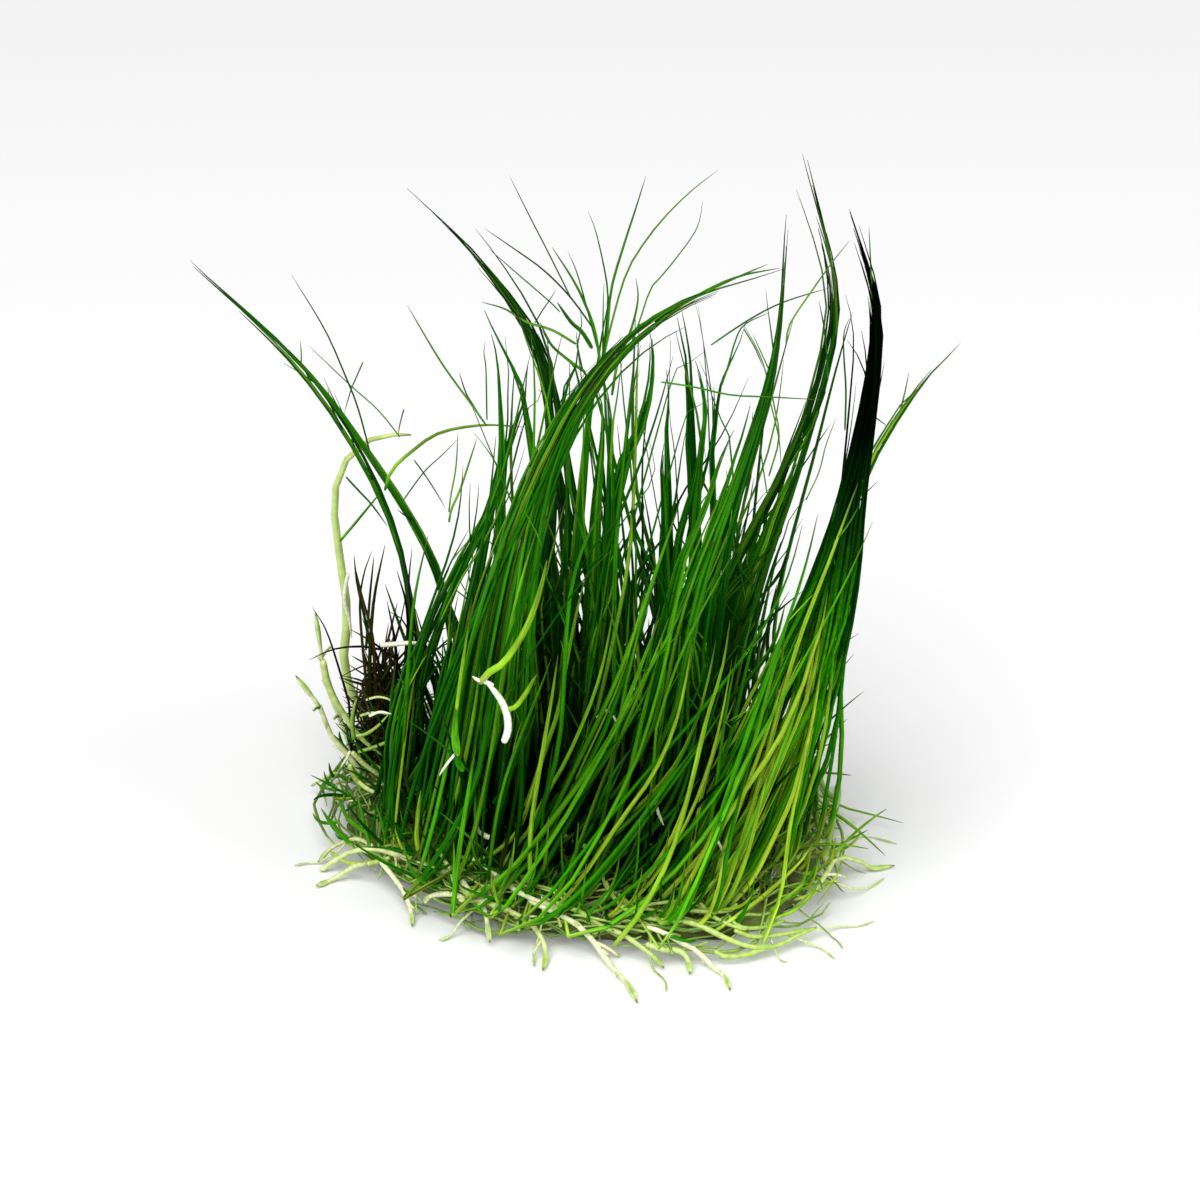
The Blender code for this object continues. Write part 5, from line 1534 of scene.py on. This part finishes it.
class HAIRGRASS_OT_tangle(Operator):
    """Lay the runners, roots and fibres that make the pad's rim and top"""

    bl_idname = "hairgrass.tangle"
    bl_label = "Lay Tangle"

    # How much thicker the strands of the rim are than they look in the picture
    boldness = 1.15

    def execute(self, context):
        settings = context.scene.hairgrass_roots
        ivory, lime, bud, litter = colours_of(settings, "ivory", "lime", "bud", "litter")
        finish = root_finish("runner_skin", ivory, lime, bud, litter)
        blank = round_blank(6, FIBRE_PROFILE)
        root = round_blank(6, ROOT_PROFILE)
        dice = np.random.default_rng((SEED, 300))
        runners = self.rim_runners(blank, settings.rim_runners, dice)
        for half, tone, lift, *seen in RIM_STRANDS.values():
            half = self.boldness * half
            line = smooth_line([seen_resting(across, down, half, lift) for across, down in seen])
            line = np.column_stack((*kept_in(line[:, 0], line[:, 1]), line[:, 2]))
            runners.lay(root, line, half, 0.2 + 0.5 * tone)
        runners.finish("mat_runners", finish, "ivory_roots", "root_mat")
        self.rim_roots(root, settings.rim_roots, dice).finish("mat_roots", finish, "ivory_roots", "root_mat")
        brown = root_finish("fibre_skin", shade(lime, 0.45), shade(lime, 0.22), shade(lime, 0.3), litter)
        self.fibres(blank, settings.fibres, dice).finish("mat_fibres", brown, "root_pad", "root_mat")
        return {"FINISHED"}

    @staticmethod
    def rim_runners(blank, count, dice):
        """Runners that follow the rim for a while and weave up and down."""
        heights = blank["heights"]
        angle = dice.uniform(0, FULL_TURN, count)
        start = np.stack(pad_place(angle, dice.uniform(0.8, 0.99, count)), axis=1)
        way = np.where(dice.uniform(0, 1, count) < 0.5, 1, -1)
        heading = angle + way * math.pi / 2 + dice.normal(0, 0.3, count)
        length = dice.uniform(7, 17, count)
        bend = np.sign(np.sin(heading - angle)) * length / 24
        x, y = wandering(start, heading, length, bend, heights, dice)
        hug = np.minimum(1, dice.uniform(0.93, 1.02, (count, 1)) / np.maximum(pad_share(x, y), 1e-3))
        x, y = x * hug, y * hug
        half = dice.uniform(0.09, 0.21, count)
        lift = dice.uniform(-1.6, 0.8, (count, 1))
        lift = lift + 0.35 * np.sin(heights * 9 + dice.uniform(0, 6, (count, 1)))
        z = lying_height(x, y, lift, half[:, None])
        tones = np.clip(dice.uniform(0.55, 1, count) + 0.3 * eased((-12 - x[:, 0]) / 8), 0, 1)
        return lying_strands(blank, x, y, z, half, tones)

    @staticmethod
    def rim_roots(blank, count, dice):
        """Thin roots that leave the rim, droop and end on the floor."""
        angle = dice.uniform(0, FULL_TURN, count)
        start = np.stack(pad_place(angle, dice.uniform(0.82, 0.97, count)), axis=1)
        heading = angle + dice.normal(0, 0.6, count)
        length = dice.uniform(3, 7.5, count)
        x, y = wandering(start, heading, length, dice.normal(0, 0.9, count), blank["heights"], dice)
        half = dice.uniform(0.08, 0.17, count)
        lift = dice.uniform(-0.2, 0.6, (count, 1)) * (1 - blank["heights"])
        z = lying_height(x, y, lift, half[:, None] * 1.6)
        return lying_strands(blank, x, y, z, half, dice.uniform(0.3, 0.9, count))

    @staticmethod
    def fibres(blank, count, dice):
        """Fine fibres and dead sheaths, tangled over the pad's top."""
        angle = dice.uniform(0, FULL_TURN, count)
        start = np.stack(pad_place(angle, np.sqrt(dice.uniform(0.05, 0.74, count))), axis=1)
        length = dice.uniform(3, 7, count)
        heading = dice.uniform(0, FULL_TURN, count)
        x, y = wandering(start, heading, length, dice.normal(0, 1.3, count), blank["heights"], dice)
        half = dice.uniform(0.1, 0.24, count)
        arch = dice.uniform(0, 1.6, (count, 1)) * np.sin(blank["heights"] * math.pi)
        z = lying_height(x, y, arch - 0.4, half[:, None])
        return lying_strands(blank, x, y, z, half, dice.uniform(0, 1, count))


class HAIRGRASS_OT_short_shoots(Operator):
    """Grow the young shoots that stand round the pad's rim"""

    bl_idname = "hairgrass.short_shoots"
    bl_label = "Grow Short Shoots"

    def execute(self, context):
        settings = context.scene.hairgrass_roots
        blades = context.scene.hairgrass_blades
        blank = round_blank(5, BLADE_PROFILE)
        finish = blade_finish(
            "blade_young", tuple(settings.lime_colour), shade(blades.fresh_colour, 1.25), (0.20, 0.30, 0.05))
        count = settings.short_shoots
        dice = np.random.default_rng((SEED, 400))
        heights = blank["heights"][None, :]
        angle = dice.uniform(0, FULL_TURN, count)
        x, y = pad_place(angle, dice.uniform(0.6, 0.95, count))
        z = pad_height(x, y) - 0.2
        length = (dice.uniform(5, 15, count) * (1 - 0.55 * np.cos(angle) ** 2))[:, None]
        # A shoot leaves outward or along the rim to the right at a slant, and turns up as it grows
        ahead = np.stack((0.75 * np.cos(angle) + 0.6, 0.75 * np.sin(angle)), axis=1)
        ahead = ahead + dice.normal(0, 0.5, (count, 2))
        way = np.arctan2(ahead[:, 1], ahead[:, 0])[:, None]
        rise = dice.uniform(0.2, 1.15, count)[:, None]
        out = length * (heights - 0.4 * heights**2) * np.cos(rise)
        up = length * (0.4 * heights + 0.6 * heights**2) * np.sin(rise)
        x, y = kept_in(x[:, None] + out * np.cos(way), y[:, None] + out * np.sin(way))
        spines = np.stack((x, y, np.maximum(0.3, z[:, None] + up)), axis=2)
        shoots = Bundle()
        half = dice.uniform(0.14, 0.25, count)
        tone = np.clip(dice.uniform(0.3, 1, count) + 0.5 * eased((x[:, 0] - 16) / 8), 0, 1)
        shoots.add(blank, spines, half, tone)
        for half, tone, *seen in YOUNG_SHOOTS.values():
            foot = seen_resting(*seen[0], half, 0.0)
            line = smooth_line([foot, *(seen_at(across, down, foot[1]) for across, down in seen[1:])])
            shoots.lay(blank, line, half, tone)
        shoots.finish("short_shoots", finish, "fresh_blades", "root_mat")
        green, deep = colours_of(blades, "green", "deep")
        self.inner(settings.inner_shoots, blank, deep, np.random.default_rng((SEED, 450)))
        self.belt(settings.belt_shoots, blank, green, np.random.default_rng((SEED, 470)))
        return {"FINISHED"}

    @staticmethod
    def inner(count, blank, deep, dice):
        """Short shoots that fill the plant between the feet of the tufts, dark from their deep green and from
        strong painted shade.
        """
        finish = blade_finish("blade_inner", deep, deep, shade(deep, 0.6), 0.9)
        angle = dice.uniform(0, FULL_TURN, count)
        x, y = pad_place(angle, np.sqrt(dice.uniform(0, 0.46, count)))
        z = pad_height(x, y) - 0.3
        heights = blank["heights"][None, :]
        length = dice.uniform(5, 22, (count, 1))
        lean = dice.normal(0, 0.2, (count, 2)) + np.array((0.1, 0))
        curl = dice.normal(0, 0.2, (count, 2))
        way = lean[:, None] * heights[..., None] + curl[:, None] * heights[..., None] ** 2
        out = length[..., None] * way
        x, y = x[:, None] + out[..., 0], y[:, None] + out[..., 1]
        spines = np.stack((x, y, z[:, None] + length * heights), axis=2)
        shoots = Bundle()
        shoots.add(blank, spines, dice.uniform(0.15, 0.28, count), dice.uniform(0, 0.7, count))
        # A sunk of 1.15 gives these shoots stronger painted shade than the blades
        shoots.finish("inner_shoots", finish, "green_blades", "root_mat", sunk=1.15)

    @staticmethod
    def belt(count, blank, green, dice):
        """Short green shoots that lean out all round, between the feet of the blades and the rim."""
        finish = blade_finish("blade_belt", green, green, shade(green, 0.6), 0.9)
        angle = dice.uniform(0, FULL_TURN, count)
        x, y = pad_place(angle, dice.uniform(0.62, 0.94, count))
        z = pad_height(x, y) - 0.3
        heights = blank["heights"][None, :, None]
        length = dice.uniform(3.5, 10, (count, 1, 1))
        outward = np.stack((np.cos(angle), np.sin(angle), np.zeros(count)), axis=1)
        way = unit(0.5 * outward + dice.normal(0, 0.5, (count, 3)) + np.array((0.1, 0, 0.8)))
        curl = dice.normal(0, 0.3, (count, 3))
        feet = np.stack((x, y, z), axis=1)
        spines = feet[:, None] + length * (way[:, None] * heights + curl[:, None] * heights**2)
        spines[..., 2] = np.maximum(pad_height(spines[..., 0], spines[..., 1]) - 0.3, spines[..., 2])
        shoots = Bundle()
        tone = np.clip(dice.uniform(0, 0.8, count) + 0.6 * eased((x - 8) / 12), 0, 1)
        shoots.add(blank, spines, dice.uniform(0.13, 0.23, count), tone)
        shoots.finish("belt_shoots", finish, "green_blades", "root_mat", sunk=0.4)


# Runners, roots and stems that stand by themselves


def branched(bundle, blank, line, half, count, reach, dice):
    """Side rootlets from a strand: each leaves it at a slant and droops."""
    for _ in range(count):
        share = dice.uniform(0.15, 0.75)
        start, next_point = along_line(line, np.array((share, share + 0.03)))
        ahead = unit(next_point - start)
        side = unit(np.cross(ahead, (0, 0, 1))) * (1 if dice.uniform() < 0.5 else -1)
        length = dice.uniform(0.5, 1) * reach
        step = blank["heights"][:, None]
        route = start + length * step * unit(ahead + side * dice.uniform(0.6, 1.6))
        route[:, 2] = np.maximum(half, route[:, 2] - 0.09 * length * (step[:, 0] * 2) ** 2)
        bundle.add(blank, [route], half * dice.uniform(0.45, 0.7), dice.uniform(0, 1))


def scaled(bundle, blank, line, half, shares, dice):
    """Small pointed scales that a root bears at its joints."""
    for share in shares:
        start, next_point = along_line(line, np.array((share, share + 0.03)))
        ahead = unit(next_point - start)
        side = unit(np.cross(ahead, dice.normal(0, 1, 3)))
        length = half * dice.uniform(2.6, 4.2)
        step = blank["heights"][:, None]
        route = start + length * step * unit(ahead + side * dice.uniform(0.25, 0.7)) + side * half * 0.5
        route[:, 2] = np.maximum(0.15, route[:, 2])
        bundle.add(blank, [route], half * 0.5, dice.uniform(0, 0.6))


class HAIRGRASS_OT_free_roots(Operator):
    """Build the runners and roots that leave the pad, with their buds and side rootlets"""

    bl_idname = "hairgrass.free_roots"
    bl_label = "Build Free Roots"

    # Each strand's side rootlets and their reach, and where along it its scales are
    rootlets = 2
    rootlet_reach = 2.8
    scales = (0.3, 0.52, 0.7)

    def execute(self, context):
        colours = colours_of(context.scene.hairgrass_roots, "ivory", "lime", "bud", "litter")
        finish = root_finish("root_skin", *colours)
        blanks = round_blank(10, ROOT_PROFILE), round_blank(6, ROOT_PROFILE), round_blank(5, HAIR_PROFILE)
        dice = np.random.default_rng((SEED, 500))
        for name, (thick, *route) in LYING.items():
            half = ROOT_SLIMNESS * thick / 2
            plan = smooth_line(route)
            line = np.column_stack((plan, lying_height(*plan.T, 0.3, half * 1.1)))
            self.strand(name, line, half, blanks, finish, dice)
        for name in ("runner_left", "runner_left_up"):
            half = ROOT_SLIMNESS * STANDING[name]["thick"] / 2
            self.strand(name, standing_line(STANDING[name]), half, blanks, finish, dice)
        return {"FINISHED"}

    def strand(self, name, line, half, blanks, finish, dice):
        root, thin, scale = blanks
        bundle = Bundle()
        bundle.lay(root, line, half, dice.uniform(0, 0.5))
        branched(bundle, thin, line, half, self.rootlets, self.rootlet_reach, dice)
        scaled(bundle, scale, line, half, self.scales, dice)
        bundle.finish("strand_" + name, finish, "ivory_roots", name)


def standing_line(strand):
    """A standing stem's middle line, from its foot on the pad."""
    foot = strand["foot"]
    return smooth_line(((*foot, float(pad_height(*foot)) - 0.4), *strand["path"]))


class HAIRGRASS_OT_stems(Operator):
    """Build the pale stem at the left end and the loose shoot in front"""

    bl_idname = "hairgrass.stems"
    bl_label = "Build Stems"

    def execute(self, context):
        ivory, lime, bud, litter = colours_of(context.scene.hairgrass_roots, "ivory", "lime", "bud", "litter")
        fresh, = colours_of(context.scene.hairgrass_blades, "fresh")
        stem = Bundle()
        pale_stem = STANDING["pale_stem"]
        stem.lay(round_blank(10, STEM_PROFILE), standing_line(pale_stem), pale_stem["thick"] / 2, 0.4)
        pale = root_finish("stem_pale", (0.6, 0.75, 0.28), lime, lime, (0.3, 0.36, 0.08))
        stem.finish("stem_pale", pale, "pale_stems", "pale_stem")
        blank = round_blank(6, BLADE_PROFILE)
        white = root_finish("shoot_white", (0.9, 0.9, 0.76), lime, ivory, litter)
        bits = Bundle()
        for half, depth, *seen in PALE_BITS.values():
            bits.lay(blank, seen_line(seen, depth), half, 0.3)
        bits.finish("pale_bits", white, "pale_stems")
        runners = Bundle()
        for half, tone, depth, *seen in LIME_RUNNERS.values():
            runners.lay(blank, seen_line(seen, depth), half, tone)
        skin = root_finish("runner_lime", ivory, lime, bud, litter)
        runners.finish("runners_left_end", skin, "pale_stems")
        green = blade_finish("shoot_green", shade(lime, 0.6), fresh, (0.1, 0.2, 0.02))
        shoot = self.loose_part(blank, LOOSE_WHITE, 0.1)
        shoot.finish("shoot_loose_white", white, "pale_stems", "loose_shoot")
        shoot = self.loose_part(blank, LOOSE_GREEN, 0.85)
        bulb = round_blank(8, BULB_PROFILE)
        for half, tone, *seen in LOOSE_BULBS.values():
            shoot.lay(bulb, seen_line(seen, LOOSE_DEPTH), half, tone)
        shoot.finish("shoot_loose_green", green, "pale_stems", "loose_shoot")
        return {"FINISHED"}

    @staticmethod
    def loose_part(blank, strands, tone):
        """The strands of one colour of the loose shoot."""
        shoot = Bundle()
        for half, *seen in strands.values():
            shoot.lay(blank, seen_line(seen, LOOSE_DEPTH), half, tone)
        return shoot


class HAIRGRASS_OT_gel(Operator):
    """Build the lumps of clear gel"""

    bl_idname = "hairgrass.gel"
    bl_label = "Build Gel"

    def execute(self, context):
        settings = context.scene.hairgrass_gel
        finish = gel_finish("gel_clear", tuple(settings.tint), settings.density)
        for name in GELS:
            low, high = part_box(name)
            centre, size = (low + high) / 2, high - low
            bpy.ops.object.select_all(action="DESELECT")
            bpy.ops.mesh.primitive_ico_sphere_add(subdivisions=4, radius=0.5, location=(0, 0, 0))
            lump = context.object
            lump.name = "lump_" + name
            for corner in lump.data.vertices:
                way = corner.co.normalized()
                rough = 0.9 + 0.1 * noise.noise(way * 1.7 + centre * 300)
                corner.co = centre + Vector([way[axis] * 0.5 * size[axis] * rough for axis in range(3)])
            lump.data.shade_smooth()
            placed(lump, finish, "clear_gel", name)
        return {"FINISHED"}


# The studio


class HAIRGRASS_OT_stage(Operator):
    """Set up the floor, the lights and the camera"""

    bl_idname = "hairgrass.stage"
    bl_label = "Set Up Stage"

    def execute(self, context):
        settings = context.scene.hairgrass_studio
        self.floor(settings)
        self.surroundings(settings)
        self.light("key_light", (-0.2, -0.45, 0.85), 0.9, settings.key_power)
        self.light("fill_light", (0.7, -0.25, 0.4), 0.5, settings.fill_power)
        self.camera()
        return {"FINISHED"}

    @staticmethod
    def floor(settings):
        bpy.ops.object.select_all(action="DESELECT")
        bpy.ops.mesh.primitive_plane_add(size=2 * settings.floor_half, location=(0, 0, -0.1 * MM))
        floor = bpy.context.object
        floor.name = "floor"
        finish = Finish("floor")
        finish.set(base_color=(*settings.floor_colour, 1.0), roughness=0.7, specular_ior_level=0.2)
        floor.data.materials.append(finish.material)

    @staticmethod
    def surroundings(settings):
        world = bpy.data.worlds.new("white_studio")
        world.use_nodes = True
        world.node_tree.nodes["Background"].inputs["Color"].default_value = (1, 1, 1, 1)
        world.node_tree.nodes["Background"].inputs["Strength"].default_value = settings.sky_strength
        bpy.context.scene.world = world
        bpy.context.scene.view_settings.view_transform = "Standard"

    @staticmethod
    def light(name, place, size, power):
        data = bpy.data.lights.new(name, "AREA")
        data.size = size
        data.energy = power
        lamp = linked(name, data)
        lamp.location = place
        aim = Vector((0, 0, 0.03)) - lamp.location
        lamp.rotation_euler = aim.to_track_quat("-Z", "Y").to_euler()

    @staticmethod
    def camera():
        data = bpy.data.cameras.new("camera")
        data.lens = LENS
        data.sensor_width = SENSOR
        camera = linked("camera", data)
        back, up = CAMERA_DISTANCE * math.cos(ELEVATION), CAMERA_DISTANCE * math.sin(ELEVATION)
        camera.location = Vector((LOOKED_AT[0], LOOKED_AT[1] - back, LOOKED_AT[2] + up)) * MM
        camera.rotation_euler = (math.pi / 2 - ELEVATION, 0, 0)
        bpy.context.scene.camera = camera


STEPS = (
    HAIRGRASS_OT_stage, HAIRGRASS_OT_root_mat, HAIRGRASS_OT_tangle, HAIRGRASS_OT_short_shoots,
    HAIRGRASS_OT_free_roots, HAIRGRASS_OT_stems, HAIRGRASS_OT_gel, HAIRGRASS_OT_old_shoots,
    HAIRGRASS_OT_litter, HAIRGRASS_OT_blades, HAIRGRASS_OT_locks, HAIRGRASS_OT_front_blades,
    HAIRGRASS_OT_strays)


class HAIRGRASS_PT_panel(Panel):
    """The sidebar panel that lists the steps"""

    bl_idname = "HAIRGRASS_PT_panel"
    bl_label = "Dwarf Hairgrass"
    bl_space_type = "VIEW_3D"
    bl_region_type = "UI"
    bl_category = "Hairgrass"

    def draw(self, context):
        for step in STEPS:
            self.layout.operator(step.bl_idname)


SETTINGS = {
    "hairgrass_blades": BladeSettings,
    "hairgrass_roots": RootSettings,
    "hairgrass_gel": GelSettings,
    "hairgrass_studio": StudioSettings,
}
CLASSES = (*SETTINGS.values(), *STEPS, HAIRGRASS_PT_panel)


def register():
    for cls in CLASSES:
        bpy.utils.register_class(cls)
    for name, group in SETTINGS.items():
        setattr(bpy.types.Scene, name, PointerProperty(type=group))


def unregister():
    for name in SETTINGS:
        delattr(bpy.types.Scene, name)
    for cls in reversed(CLASSES):
        bpy.utils.unregister_class(cls)


def main():
    register()
    bpy.ops.hairgrass.stage()
    bpy.ops.hairgrass.root_mat()
    bpy.ops.hairgrass.tangle()
    bpy.ops.hairgrass.short_shoots()
    bpy.ops.hairgrass.free_roots()
    bpy.ops.hairgrass.stems()
    bpy.ops.hairgrass.gel()
    bpy.ops.hairgrass.old_shoots()
    bpy.ops.hairgrass.litter()
    bpy.ops.hairgrass.blades()
    bpy.ops.hairgrass.locks()
    bpy.ops.hairgrass.front_blades()
    bpy.ops.hairgrass.strays()


if __name__ == "__main__":
    main()
